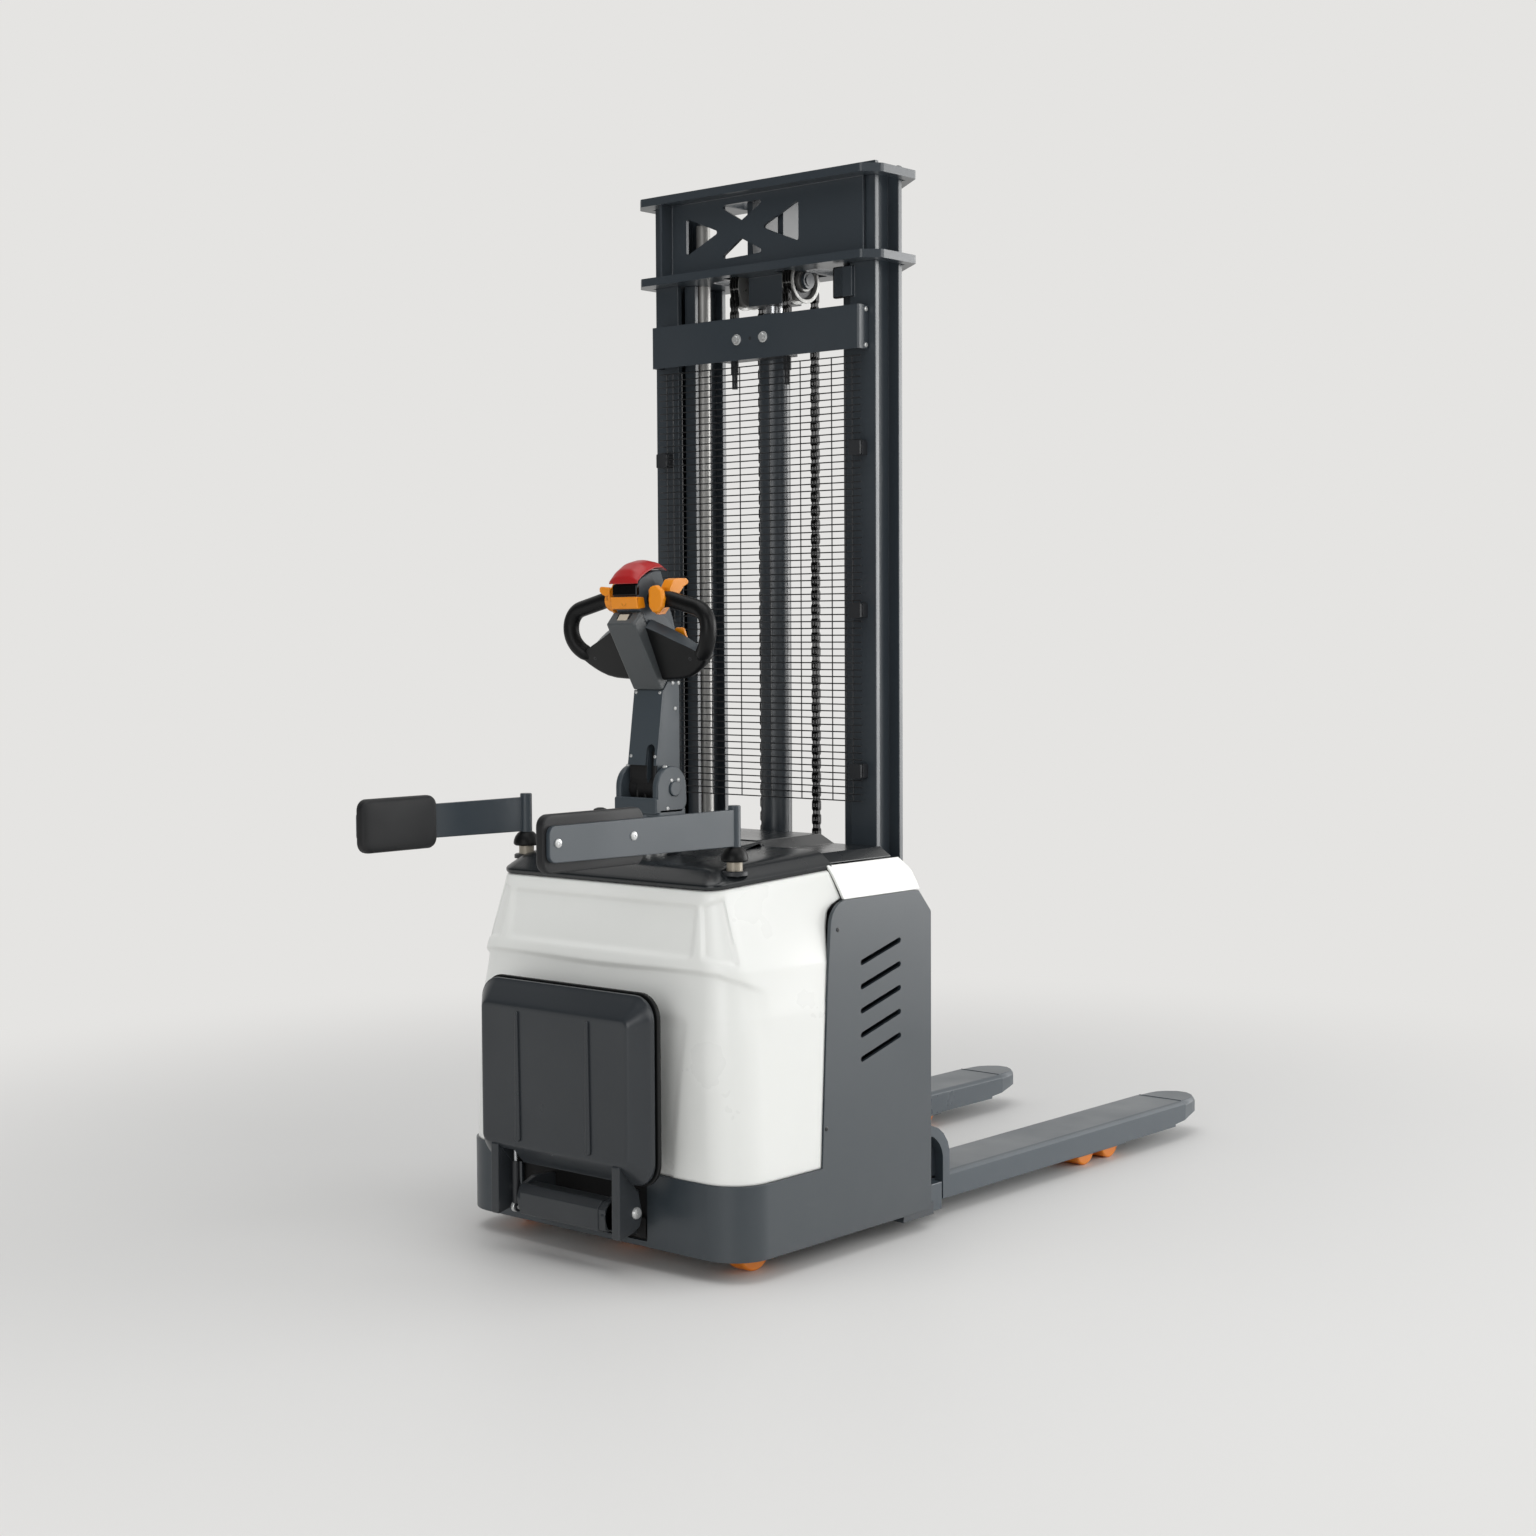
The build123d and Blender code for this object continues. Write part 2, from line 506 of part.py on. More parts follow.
# head of the inner mast: two plates, the cross plate, one gusset, two ribs and the pulley block
with BuildPart() as mast_head:
    rim = [(-358, 662), (-358, 544),
           (-324, 510), (324, 510), (358, 544), (358, 662), (262, 735), (-262, 735)]
    for plate_z in (LOW_PLATE, HIGH_PLATE):
        extrude(poly(FLOOR.offset(plate_z), rim, {0: 12, 1: 14, 2: 14, 3: 14, 4: 14, 5: 12}),
                amount=PLATE_T)
        for side in SIDES:
            low, high = span(side, RAIL_IN - 5, RAIL_OUT + 5)
            extrude(box(FLOOR.offset(plate_z), low, high, RAIL_REAR - 4, RAIL_FRONT + 5), amount=PLATE_T,
                    mode=Mode.SUBTRACT)
            low, high = span(side, 108, 168)
            extrude(box(FLOOR.offset(plate_z), low, high, 572, 712, 26), amount=PLATE_T,
                    mode=Mode.SUBTRACT)
    for side in SIDES:
        low, high = span(side, 54, 100)
        extrude(box(FLOOR.offset(LOW_PLATE), low, high, 540, 676, 8), amount=PLATE_T, mode=Mode.SUBTRACT)
        extrude(ring(FLOOR.offset(LOW_PLATE), side * SIDE_RAM_X, SIDE_RAM_Y, 18), amount=PLATE_T,
                mode=Mode.SUBTRACT)
        low, high = span(side, 37, 53)
        extrude(box(FLOOR.offset(LOW_PLATE + PLATE_T), low, high, 575, 690),
                amount=HIGH_PLATE - LOW_PLATE - PLATE_T)
    extrude(box(across(558), -262, 300, LOW_PLATE + PLATE_T, HIGH_PLATE), amount=8)
    extrude(box(across(558), -268, -262, LOW_PLATE + PLATE_T, HIGH_PLATE), amount=44)
    windows = ([(-218, 2264), (-218, 2178), (-116, 2223)], [(-118, 2281), (24, 2281), (-50, 2241)],
               [(118, 2267), (118, 2177), (8, 2220)], [(-118, 2160), (24, 2164), (-51, 2202)])
    for window in windows:
        extrude(poly(across(560), window, {0: 5, 1: 5, 2: 5}), amount=12, mode=Mode.SUBTRACT)
    extrude(box(across(642), -50, 50, 2050, LOW_PLATE), amount=68)
    extrude(ring(SIDE.offset(-104), PULLEY_Y, PULLEY_Z, 12.4), amount=208)
    for side in SIDES:
        low, high = span(side, PULLEY_X + 15.5, PULLEY_X + 24)
        extrude(ring(SIDE.offset(low), PULLEY_Y, PULLEY_Z, 19), amount=high - low)
save(mast_head, "mast_head")

with BuildPart() as lift_rods:
    extrude(ring(FLOOR.offset(130), 0, PULLEY_Y, 20), amount=1920)
    for side in SIDES:
        extrude(ring(FLOOR.offset(140), side * SIDE_RAM_X, SIDE_RAM_Y, 11), amount=HIGH_PLATE - 140)
save(lift_rods, "lift_rods")


def pulley(side, name):
    """Write one chain pulley."""
    with BuildPart() as wheel:
        low, high = span(side, PULLEY_X - 14.5, PULLEY_X + 14.5)
        extrude(ring(SIDE.offset(low), PULLEY_Y, PULLEY_Z, PULLEY_R + 2, 12.4 + RUN), amount=29)
        low, high = span(side, PULLEY_X - 11.6, PULLEY_X + 11.6)
        extrude(ring(SIDE.offset(low), PULLEY_Y, PULLEY_Z, PULLEY_R + 4, PULLEY_R - 6.4),
                amount=high - low, mode=Mode.SUBTRACT)
        low, high = span(side, PULLEY_X + 4, PULLEY_X + 16)
        extrude(ring(SIDE.offset(low), PULLEY_Y, PULLEY_Z, PULLEY_R - 10, 24), amount=high - low,
                mode=Mode.SUBTRACT)
    save(wheel, name)


pulley(-1, "pulley_left")
pulley(1, "pulley_right")

# leaf chains: the rear strands to the anchors, and the wrap with the front strands to the carriage
CHAIN_T = 6.0
with BuildPart() as chain_rear:
    for side in SIDES:
        chain_x = side * PULLEY_X
        rear_y = PULLEY_Y - PULLEY_R
        extrude(box(FLOOR.offset(1998), chain_x - 11, chain_x + 11, rear_y - CHAIN_T, rear_y + CHAIN_T),
                amount=PULLEY_Z - 1998)
save(chain_rear, "chain_rear")

CHAIN_LOW = 500.0
with BuildPart() as chain_front:
    for side in SIDES:
        chain_x = side * PULLEY_X
        front_y = PULLEY_Y + PULLEY_R
        extrude(box(FLOOR.offset(CHAIN_LOW), chain_x - 11, chain_x + 11, front_y - CHAIN_T,
                    front_y + CHAIN_T),
                amount=PULLEY_Z - CHAIN_LOW)
        extrude(ring(SIDE.offset(chain_x - 11), PULLEY_Y, PULLEY_Z, PULLEY_R + CHAIN_T,
                     PULLEY_R - CHAIN_T), amount=22)
        extrude(box(SIDE.offset(chain_x - 12), PULLEY_Y - 70, PULLEY_Y + PULLEY_R - CHAIN_T,
                    PULLEY_Z - 70, PULLEY_Z),
                amount=24, mode=Mode.SUBTRACT)
        extrude(box(SIDE.offset(chain_x - 12), PULLEY_Y + PULLEY_R + CHAIN_T, PULLEY_Y + 80,
                    PULLEY_Z - 70, PULLEY_Z),
                amount=24, mode=Mode.SUBTRACT)
save(chain_front, "chain_front")

# fork carriage with its rollers
with BuildPart() as carriage_frame:
    for side in SIDES:
        low, high = span(side, 150, 166)
        extrude(box(SIDE.offset(low), 630, 736, 100, 560, 10), amount=16)
        low, high = span(side, 165, 239)
        for roller_z in (145, 515):
            extrude(ring(SIDE.offset(low), (RIB_FRONT + INNER_FRONT - 12) / 2, roller_z, 18.6),
                    amount=high - low)
        low, high = span(side, PULLEY_X - 14, PULLEY_X + 14)
        extrude(box(FLOOR.offset(470), low, high, 645, 736), amount=CHAIN_LOW - 470)
    extrude(box(across(750), -343, 343, 90, 182), amount=15)
    extrude(box(across(750), -240, 240, 420, 510), amount=15)
    extrude(box(across(750), -200, -140, 180, 430), amount=15)
    extrude(box(across(750), 140, 200, 180, 430), amount=15)
save(carriage_frame, "carriage_frame")

# forks: inverted channels over the legs, with curved heels and rounded noses
with BuildPart() as forks:
    heel = [(748, 41), (773, 41), (773, 147), (766, 168), (750, 189), (730, 204), (706, 213),
            (690, 214), (690, 190), (708, 188), (722, 180), (736, 166), (745, 150), (748, 138)]
    for side in SIDES:
        wall = [(-77, 40), (-77, 90), (-70, 96), (-62, 98), (62, 98), (70, 96), (77, 90), (77, 40),
                (69, 40), (69, 88), (60, 90), (-60, 90), (-69, 88), (-69, 40)]
        points = [(side * FORK_X + x, z) for x, z in wall]
        extrude(poly(across(1800), points), amount=1800 - 772.5)
        top = [(side * FORK_X + x, z) for x, z in ((-62, 90.2), (-62, 98), (52, 98), (52, 90.2))]
        extrude(poly(across(773), top), amount=773 - 750)
        nose = [(-77, 1620), (77, 1620), (77, 1797), (66, 1850), (60, 1875), (42, 1900), (16, FORK_TIP),
                (-16, FORK_TIP), (-42, 1900), (-60, 1875), (-66, 1850), (-77, 1797)]
        crown = [(-62, 1620), (62, 1620), (62, 1797), (59, 1848), (54, 1872), (38, 1894),
                 (14, FORK_TIP - 5),
                 (-14, FORK_TIP - 5), (-38, 1894), (-54, 1872), (-59, 1848), (-62, 1797)]
        points = [(side * FORK_X + x, y) for x, y in nose]
        extrude(poly(FLOOR.offset(46), points), amount=42)
        upper = [(side * FORK_X + x, y) for x, y in crown]
        loft([poly(FLOOR.offset(88), points), poly(FLOOR.offset(97.6), upper)], ruled=True)
        low, high = span(side, 343, 365)
        extrude(poly(SIDE.offset(low), heel), amount=22)
    bevel = [(1752, 30), (1930, 30), (1930, 70), (1893, 61), (1791, 49), (1752, 46)]
    extrude(poly(SIDE.offset(-400), bevel), amount=800, mode=Mode.SUBTRACT)
save(forks, "forks")

# guard arms with their posts, bolts, pads, boots and bushes


def arm(side, pad_rear, suffix):
    """Write one guard arm with its bolts, and its pad."""
    plate_rear = pad_rear + 10
    with BuildPart() as bar:
        low, high = span(side, ARM_X - 2, ARM_X + 8)
        blade = [(plate_rear, ARM_LOW + 6), (plate_rear, ARM_HIGH), (ARM_Y, ARM_HIGH), (ARM_Y, ARM_LOW)]
        extrude(poly(SIDE.offset(low), blade, {0: 16, 1: 16}), amount=10)
        extrude(ring(FLOOR.offset(800), side * ARM_X, ARM_Y, POST_R), amount=963 - 800)
        low, high = span(side, ARM_X + 8, ARM_X + 12)
        for bolt_y in (plate_rear + 22, plate_rear + 226 if side > 0 else plate_rear + 150):
            extrude(ring(SIDE.offset(low), bolt_y, 922, 9), amount=4)
    save(bar, f"arm_{suffix}")
    with BuildPart() as pad:
        low, high = span(side, ARM_X - 30, ARM_X - 2)
        pad_front = -150 if side > 0 else -165
        extrude(box(SIDE.offset(low), pad_rear, pad_front, 862, 978, 24), amount=28)
        inner_face = pad.faces().sort_by(Axis.X)[0 if side > 0 else -1]
        fillet(inner_face.edges(), 11)
        outer_face = pad.faces().sort_by(Axis.X)[-1 if side > 0 else 0]
        fillet(outer_face.edges(), 8)
    save(pad, f"arm_pad_{suffix}")


arm(1, PAD_REAR_RIGHT, "right")
arm(-1, PAD_REAR_LEFT, "left")

with BuildPart() as arm_sockets:
    for side in SIDES:
        extrude(ring(FLOOR.offset(826), side * ARM_X, ARM_Y, 16.5, POST_R + RUN), amount=22)
        with BuildSketch(Plane(origin=(side * ARM_X, ARM_Y - Y0, 0), x_dir=(1, 0, 0), z_dir=(0, -1,
                                                                                             0))) as bell:
            with BuildLine():
                Polyline((POST_R + 0.3, 848), (27, 848), (28.5, 853), (27, 862), (22, 873), (17, 878.4),
                         (POST_R + 0.3, 878.4), close=True)
            make_face()
        revolve(bell.sketch, axis=Axis((side * ARM_X, ARM_Y - Y0, 0), (0, 0, 1)), revolution_arc=360)
save(arm_sockets, "arm_sockets")

# pedal hinge on the chassis: backing plate, lugs, tube and pins
with BuildPart() as pedal_hinge:
    extrude(box(across(16), -235, 185, 50, 174, 4), amount=16 - SKIRT_T)
    lug = [(9, 68), (9, 162), (-50, 165), (-86, 150), (-97, 122), (-88, 94), (-60, 84)]
    for side in SIDES:
        low, high = span(side, 118, 131)
        extrude(poly(SIDE.offset(low), lug), amount=13)
        low, high = span(side, 118, 191)
        extrude(ring(SIDE.offset(low), HINGE_Y, HINGE_Z, 8), amount=high - low)
        low, high = span(side, 190.5, 196)
        extrude(hexagon(SIDE.offset(low), HINGE_Y, HINGE_Z, 12), amount=high - low)
    extrude(ring(SIDE.offset(-119), -66, 121, 30), amount=238)
    extrude(ring(SIDE.offset(-155), -82, 100, 5), amount=30)
save(pedal_hinge, "pedal_hinge")

# folding pedal: pressed tray with its hinge brackets, and the standing platform with its mat
with BuildPart() as pedal_tray:
    extrude(box(across(PEDAL_Y), -PEDAL_HALF, PEDAL_HALF, PEDAL_LOW, PEDAL_HIGH, 50), amount=4)
    loft([box(across(PEDAL_Y - 4), -PEDAL_HALF, PEDAL_HALF, PEDAL_LOW, PEDAL_HIGH, 50),
          box(across(PEDAL_Y - 44), 38 - PEDAL_HALF, PEDAL_HALF - 38, 240, 538, 16)], ruled=True)
    extrude(box(across(PEDAL_Y + 4), 60 - PEDAL_HALF, PEDAL_HALF - 60, 240, 545, 20), amount=5)
    for rib_x in (-104, 104):
        extrude(box(across(PEDAL_Y - 42), rib_x - 6, rib_x + 6, 248, 526, 5.5), amount=7)
    horn = [(-114, 85), (-113, 236), (-103, 247), (-74, 214), (-67, 190), (-56, 178), (-44, 131), (-52, 104),
            (-76, 93)]
    for side in SIDES:
        low, high = span(side, 168, 190)
        extrude(poly(SIDE.offset(low), horn), amount=22)
        extrude(ring(SIDE.offset(low - 1), HINGE_Y, HINGE_Z, 8 + RUN), amount=24, mode=Mode.SUBTRACT)
    extrude(box(across(PEDAL_Y + 6), -166, -128, 180, 300, 4), amount=39.5, mode=Mode.SUBTRACT)
    extrude(ring(SIDE.offset(-167), -82, 262, 4), amount=12.4)
save(pedal_tray, "pedal_tray")

with BuildPart() as pedal_platform:
    extrude(box(across(PEDAL_Y + 14), -PEDAL_HALF - 4, PEDAL_HALF + 4, PEDAL_LOW - 4, PEDAL_HIGH + 4,
                52), amount=10)
    extrude(box(across(PEDAL_Y + 17), 16 - PEDAL_HALF, PEDAL_HALF - 16, PEDAL_LOW + 16, PEDAL_HIGH - 16,
                36), amount=3)
save(pedal_platform, "pedal_platform")

# gas spring of the pedal
with BuildPart() as gas_barrel:
    extrude(ring(SIDE.offset(-154), -82, 100, 10), amount=16)
    extrude(ring(FLOOR.offset(104), -146, -82, 8), amount=94)
    extrude(ring(FLOOR.offset(116), -146, -82, 4 + RUN), amount=90, mode=Mode.SUBTRACT)
    extrude(ring(SIDE.offset(-155), -82, 100, 5 + RUN), amount=20, mode=Mode.SUBTRACT)
save(gas_barrel, "gas_barrel")

with BuildPart() as gas_rod:
    extrude(ring(FLOOR.offset(170), -146, -82, 4), amount=88)
    extrude(ring(SIDE.offset(-154), -82, 262, 8), amount=16)
save(gas_rod, "gas_rod")

# tiller yoke on the steering column
with BuildPart() as tiller_yoke:
    extrude(ring(FLOOR.offset(861), 0, DRIVE_Y, 58), amount=70)
    extrude(box(FLOOR.offset(926), -62, 62, 145, 237, 10), amount=18)
    extrude(box(FLOOR.offset(940), -62, 62, 139, 151, 5), amount=20)
    ear = [(145, 930), (145, 986), (237, 986), (237, 950), (222, 930)]
    for side in SIDES:
        low, high = span(side, 47, 62)
        extrude(poly(SIDE.offset(low), ear), amount=15)
        extrude(ring(SIDE.offset(low), 191, 986, 46.5), amount=15)
        low, high = span(side, 61, 66)
        extrude(ring(SIDE.offset(low), PIVOT_Y, PIVOT_Z, 16), amount=5)
    extrude(ring(SIDE.offset(-48), PIVOT_Y, PIVOT_Z, 10), amount=96)
save(tiller_yoke, "tiller_yoke")

# tiller arm, its rear panel, the wedge cover, the head, the grips and the wing
with BuildPart() as tiller_arm:
    shank = [(164, 1005), (166, 1033), (188, 1193), (200.5, 1211.6), (239, 1211.6),
             (239, 983), (226, 960), (180, 958)]
    extrude(poly(SIDE.offset(-40), shank), amount=80)
    extrude(ring(SIDE.offset(-46.4), PIVOT_Y, PIVOT_Z, 30), amount=92.8)
    extrude(ring(SIDE.offset(-50), PIVOT_Y, PIVOT_Z, 10 + RUN), amount=100, mode=Mode.SUBTRACT)
    extrude(box(SIDE.offset(11), 150, 200, 950, 1078), amount=24, mode=Mode.SUBTRACT)
save(tiller_arm, "tiller_arm")

with BuildPart() as tiller_panel:
    sheet = [(163, 1033), (166, 1033), (188, 1193), (185, 1193)]
    extrude(poly(SIDE.offset(-41), sheet), amount=84)
    extrude(box(SIDE.offset(11), 150, 200, 1000, 1078), amount=24, mode=Mode.SUBTRACT)
save(tiller_panel, "tiller_panel")

with BuildPart() as tiller_wedge:
    wedge = [(179, 1194), (97, 1332), (123, 1363), (201, 1225), (201, 1213), (188, 1194)]
    extrude(poly(SIDE.offset(-41), wedge), amount=82)
    window = Plane(origin=(0, 110 - Y0, 1347.5), x_dir=(1, 0, 0), z_dir=(0, -0.766, 0.643))
    extrude(box(window, -16, 16, -9, 9), amount=-3, mode=Mode.SUBTRACT)
save(tiller_wedge, "tiller_wedge")

HEAD = [(124, 1363.5), (115, 1390), (114, 1414), (124, 1432), (150, 1448), (174, 1450), (192, 1441),
        (203, 1422),
        (206, 1395), (224, 1345), (227, 1300), (214, 1213), (201.5, 1213), (201.5, 1225.5)]
with BuildPart() as tiller_head:
    extrude(poly(SIDE.offset(-HEAD_HALF), HEAD), amount=2 * HEAD_HALF)
    extrude(ring(across(160), 0, 1378, 5 + RUN), amount=60, mode=Mode.SUBTRACT)
save(tiller_head, "tiller_head")

with BuildPart() as tiller_wing:
    for side in SIDES:
        blade = [(41.3, 22.8), (95, 7.7), (140, -13.1), (155, -28.3), (188, -46.2), (174, -68),
                 (146, -83.1), (108, -91.6), (42, -94.5)]
        extrude(poly(GRIP.offset(-15), flip(blade, side), {5: 14, 6: 20, 7: 20}), amount=30)
    extrude(ring(GRIP.offset(-40), BUTTON_X, BUTTON_V, 5 + RUN), amount=80, mode=Mode.SUBTRACT)
save(tiller_wing, "tiller_wing")

LOOP_R = 17.2
LOOP_Y = 153.0
LOOP_Z = 1386.0
with BuildPart() as tiller_loops:
    for side in SIDES:
        with BuildLine(across(LOOP_Y)) as bow:
            FilletPolyline((side * 42.8, LOOP_Z), (side * 96, LOOP_Z), (side * 202, 1360),
                           (side * 202, 1326), radius=42)
        sloped = Plane(
            origin=(side * 202, LOOP_Y - Y0, 1326),
            x_dir=(-0.88 * side, 0.475, 0),
            z_dir=(0.475, 0.88 * side, 0),
        )
        with BuildLine(sloped) as drop:
            FilletPolyline((0, 0), (0, -28.2), (50.6, -70.6), radius=60)
        path = Wire(bow.line.edges() + drop.line.edges())
        with BuildSketch(Plane(origin=(side * 42.8, LOOP_Y - Y0, LOOP_Z), z_dir=(side, 0, 0))) as bore:
            Circle(LOOP_R)
        sweep(bore.sketch, path=path)
        low, high = span(side, HEAD_HALF + 0.3, 46)
        extrude(ring(SIDE.offset(low), LOOP_Y, LOOP_Z, 13), amount=high - low)
        blade = [(HEAD_HALF, 22.8), (95, 8.1), (140, -12.7), (155.3, -27.8), (188.5, -45.9), (197, -60),
                 (170, -90), (108, -110), (42, -110)]
        extrude(poly(GRIP.offset(-45), flip(blade, side)), amount=90, mode=Mode.SUBTRACT)
save(tiller_loops, "tiller_loops")

# operating controls on the tiller head
with BuildPart() as belly_button:
    dome = [(110, 1412), (110, 1424), (121, 1445), (146, 1463), (168, 1467), (186, 1462), (197, 1450),
            (199, 1444),
            (190, 1440), (114, 1409)]
    extrude(poly(SIDE.offset(-42), dome, {0: 3, 1: 10, 2: 16, 3: 20, 4: 16, 5: 10}), amount=84)
    cavity = [(113.4, 1360), (113.4, 1420), (123.6, 1438), (149.8, 1454.2), (174.2, 1456.2), (192.5, 1447),
              (203.8, 1428), (207, 1395), (207, 1360)]
    extrude(poly(SIDE.offset(-HEAD_HALF - GAP), cavity), amount=2 * (HEAD_HALF + GAP), mode=Mode.SUBTRACT)
save(belly_button, "belly_button")

with BuildPart() as horn_bar:
    bar = [(108, 1366), (120, 1366.5), (110.5, 1391.5), (102, 1391)]
    extrude(poly(SIDE.offset(-38.8), bar), amount=77.6)
    extrude(ring(across(140), 0, 1378, 5), amount=28)
save(horn_bar, "horn_bar")

with BuildPart() as thumb_levers:
    bore_r = LOOP_R + 0.6
    shield = [(126, 1406), (131, 1412.5), (153, 1413), (163, 1409), (178, 1390), (186, 1372),
              (170, 1355.5), (151, 1354), (136, 1364), (128, 1384)]
    tail = [(160, 1398), (160, 1412), (171, 1428), (184, 1431), (210, 1431), (218, 1425), (218, 1420),
            (204, 1413.5), (194, 1402), (176, 1388)]
    for side in SIDES:
        low, high = span(side, 46.5, 74)
        extrude(ring(SIDE.offset(low), LOOP_Y, LOOP_Z, 25, bore_r), amount=high - low)
        low, high = span(side, 50, 64)
        extrude(poly(SIDE.offset(low), shield, {5: 6, 6: 6, 7: 6}), amount=14)
        low, high = span(side, 60, 88)
        extrude(poly(SIDE.offset(low), tail, {3: 4, 4: 4}), amount=28)
        low, high = span(side, 40, 90)
        extrude(ring(SIDE.offset(low), LOOP_Y, LOOP_Z, bore_r), amount=50, mode=Mode.SUBTRACT)
save(thumb_levers, "thumb_levers")

with BuildPart() as lift_button:
    extrude(ring(GRIP.offset(-10), BUTTON_X, BUTTON_V, 5), amount=-12)
    extrude(box(GRIP.offset(-18), BUTTON_X - 12, BUTTON_X + 12, BUTTON_V - 9, BUTTON_V + 9, 5), amount=-7)
save(lift_button, "lift_button")
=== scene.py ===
"""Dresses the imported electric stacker: finishes, covers, wires, chains, pads, stage and camera."""
from __future__ import annotations

import logging
import math
from dataclasses import dataclass, field
from enum import Enum
from functools import cached_property
from typing import Callable, Iterable, Sequence

import bmesh
import bpy
from mathutils import Matrix, Vector


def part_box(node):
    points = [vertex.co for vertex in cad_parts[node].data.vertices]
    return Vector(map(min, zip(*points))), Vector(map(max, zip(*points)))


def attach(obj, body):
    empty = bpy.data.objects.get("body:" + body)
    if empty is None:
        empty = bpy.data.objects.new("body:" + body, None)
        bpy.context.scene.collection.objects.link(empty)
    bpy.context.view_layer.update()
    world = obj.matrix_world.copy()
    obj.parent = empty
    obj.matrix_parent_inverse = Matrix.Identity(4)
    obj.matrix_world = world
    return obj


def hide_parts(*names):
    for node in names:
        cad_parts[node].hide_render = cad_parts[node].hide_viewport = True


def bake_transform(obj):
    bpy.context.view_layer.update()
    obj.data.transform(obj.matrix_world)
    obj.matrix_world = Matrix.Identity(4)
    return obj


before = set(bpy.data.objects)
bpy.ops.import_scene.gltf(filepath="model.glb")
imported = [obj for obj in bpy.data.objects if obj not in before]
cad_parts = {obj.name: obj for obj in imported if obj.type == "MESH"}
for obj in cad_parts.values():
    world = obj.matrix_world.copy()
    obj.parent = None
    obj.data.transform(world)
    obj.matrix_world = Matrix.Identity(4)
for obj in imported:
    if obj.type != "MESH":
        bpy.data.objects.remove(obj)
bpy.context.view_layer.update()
LOG = logging.getLogger("stacker")

Point2 = tuple[float, float]
Point3 = tuple[float, float, float]
Colour = tuple[float, float, float]
Quad = tuple[float, float, float, float]
Values = tuple[float, ...]
Outline = tuple[Point2, ...]
Tree = bpy.types.NodeTree
Socket = bpy.types.NodeSocket
Face = bmesh.types.BMFace
Edge = bmesh.types.BMEdge

MM = 0.001
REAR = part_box("skirt_frame")[0].y
TO_FRAME = Matrix.Translation((0.0, REAR, 0.0)) @ Matrix.Scale(MM, 4)
SIDES = (-1, 1)
UPRIGHT = (0, 0, 1)

# Drawing limits: the opening past which a corner counts as straight, the share of a side that one
# round may take, and the least divisor where an outline nearly turns back on itself.
STRAIGHT = 3.1
SIDE_SHARE = 0.49
LEAST_OPENING = 0.4

# The share of a normal past which a face looks outwards.
FACING = 0.3

# The tilted plane of the handle: its lean, its middle in Y and Z, and its normal.
GRIP_TILT = math.radians(25)
GRIP_MIDDLE = (163.6, 1297.3)
GRIP_NORMAL = Vector((0.0, -math.cos(GRIP_TILT), -math.sin(GRIP_TILT)))

# A dished screw head as (radius, height) points.
SCREW_HEAD: Outline = ((0, 2.2), (2.6, 2.2), (3.2, 3.6), (6.0, 3.4), (8.4, 2.2), (9.0, 0.6),
                       (9.0, 0.0), (0, 0.0))


def linear(red: int, green: int, blue: int) -> Colour:
    """Turns an eight-bit display colour into scene-linear values.

    Args:
        red: Display value from 0 to 255.
        green: Display value from 0 to 255.
        blue: Display value from 0 to 255.

    Returns:
        The linear colour.
    """
    def one(value: int) -> float:
        """Undoes the display curve for one channel."""
        share = value / 255
        return share / 12.92 if share <= 0.04045 else ((share + 0.055) / 1.055) ** 2.4

    return one(red), one(green), one(blue)


def smoothstep(value: float, low: float, high: float) -> float:
    """Eases from 0 at low to 1 at high."""
    share = min(1.0, max(0.0, (value - low) / (high - low)))
    return share * share * (3 - 2 * share)


class Along(Enum):
    """The truck axis along which an outline is drawn out, with its two drawing axes."""

    X = (1, 2, 0)
    Y = (0, 2, 1)
    Z = (0, 1, 2)

    def __call__(self, point: Point2, depth: float) -> Vector:
        """Puts a drawn point at a depth along the axis.

        Args:
            point: The point in the two drawing axes.
            depth: The place along the axis.

        Returns:
            The point in the truck's axes.
        """
        spot = Vector((0.0, 0.0, 0.0))
        first, second, third = self.value
        spot[first] = point[0]
        spot[second] = point[1]
        spot[third] = depth
        return spot


def rounded(points: Sequence[Point2], radius: float | Sequence[float],
            steps: int = 5) -> list[Point2]:
    """Rounds the corners of a closed outline.

    Args:
        points: The corners in order.
        radius: One radius for all corners, or a radius for each of the first corners.
        steps: Steps across each round.

    Returns:
        The outline's points.
    """
    outline: list[Point2] = []
    count = len(points)
    radii = [radius] * count if isinstance(radius, (int, float)) else radius
    for index, corner in enumerate(points):
        wanted = radii[index] if index < len(radii) else 0.0
        here = Vector(corner)
        back = Vector(points[index - 1]) - here
        ahead = Vector(points[(index + 1) % count]) - here
        opening = back.angle(ahead)
        if wanted <= 0 or opening > STRAIGHT:
            outline.append(corner)
            continue
        slope = math.tan(opening / 2)
        reach = min(wanted / slope, SIDE_SHARE * back.length, SIDE_SHARE * ahead.length)
        back.normalize()
        ahead.normalize()
        middle = here + (back + ahead).normalized() * (reach * slope / math.sin(opening / 2))
        first = here + back * reach - middle
        last = here + ahead * reach - middle
        sweep = first.angle_signed(last)
        for step in range(steps + 1):
            turned = Matrix.Rotation(-sweep * step / steps, 2) @ first
            outline.append((middle.x + turned.x, middle.y + turned.y))
    return outline


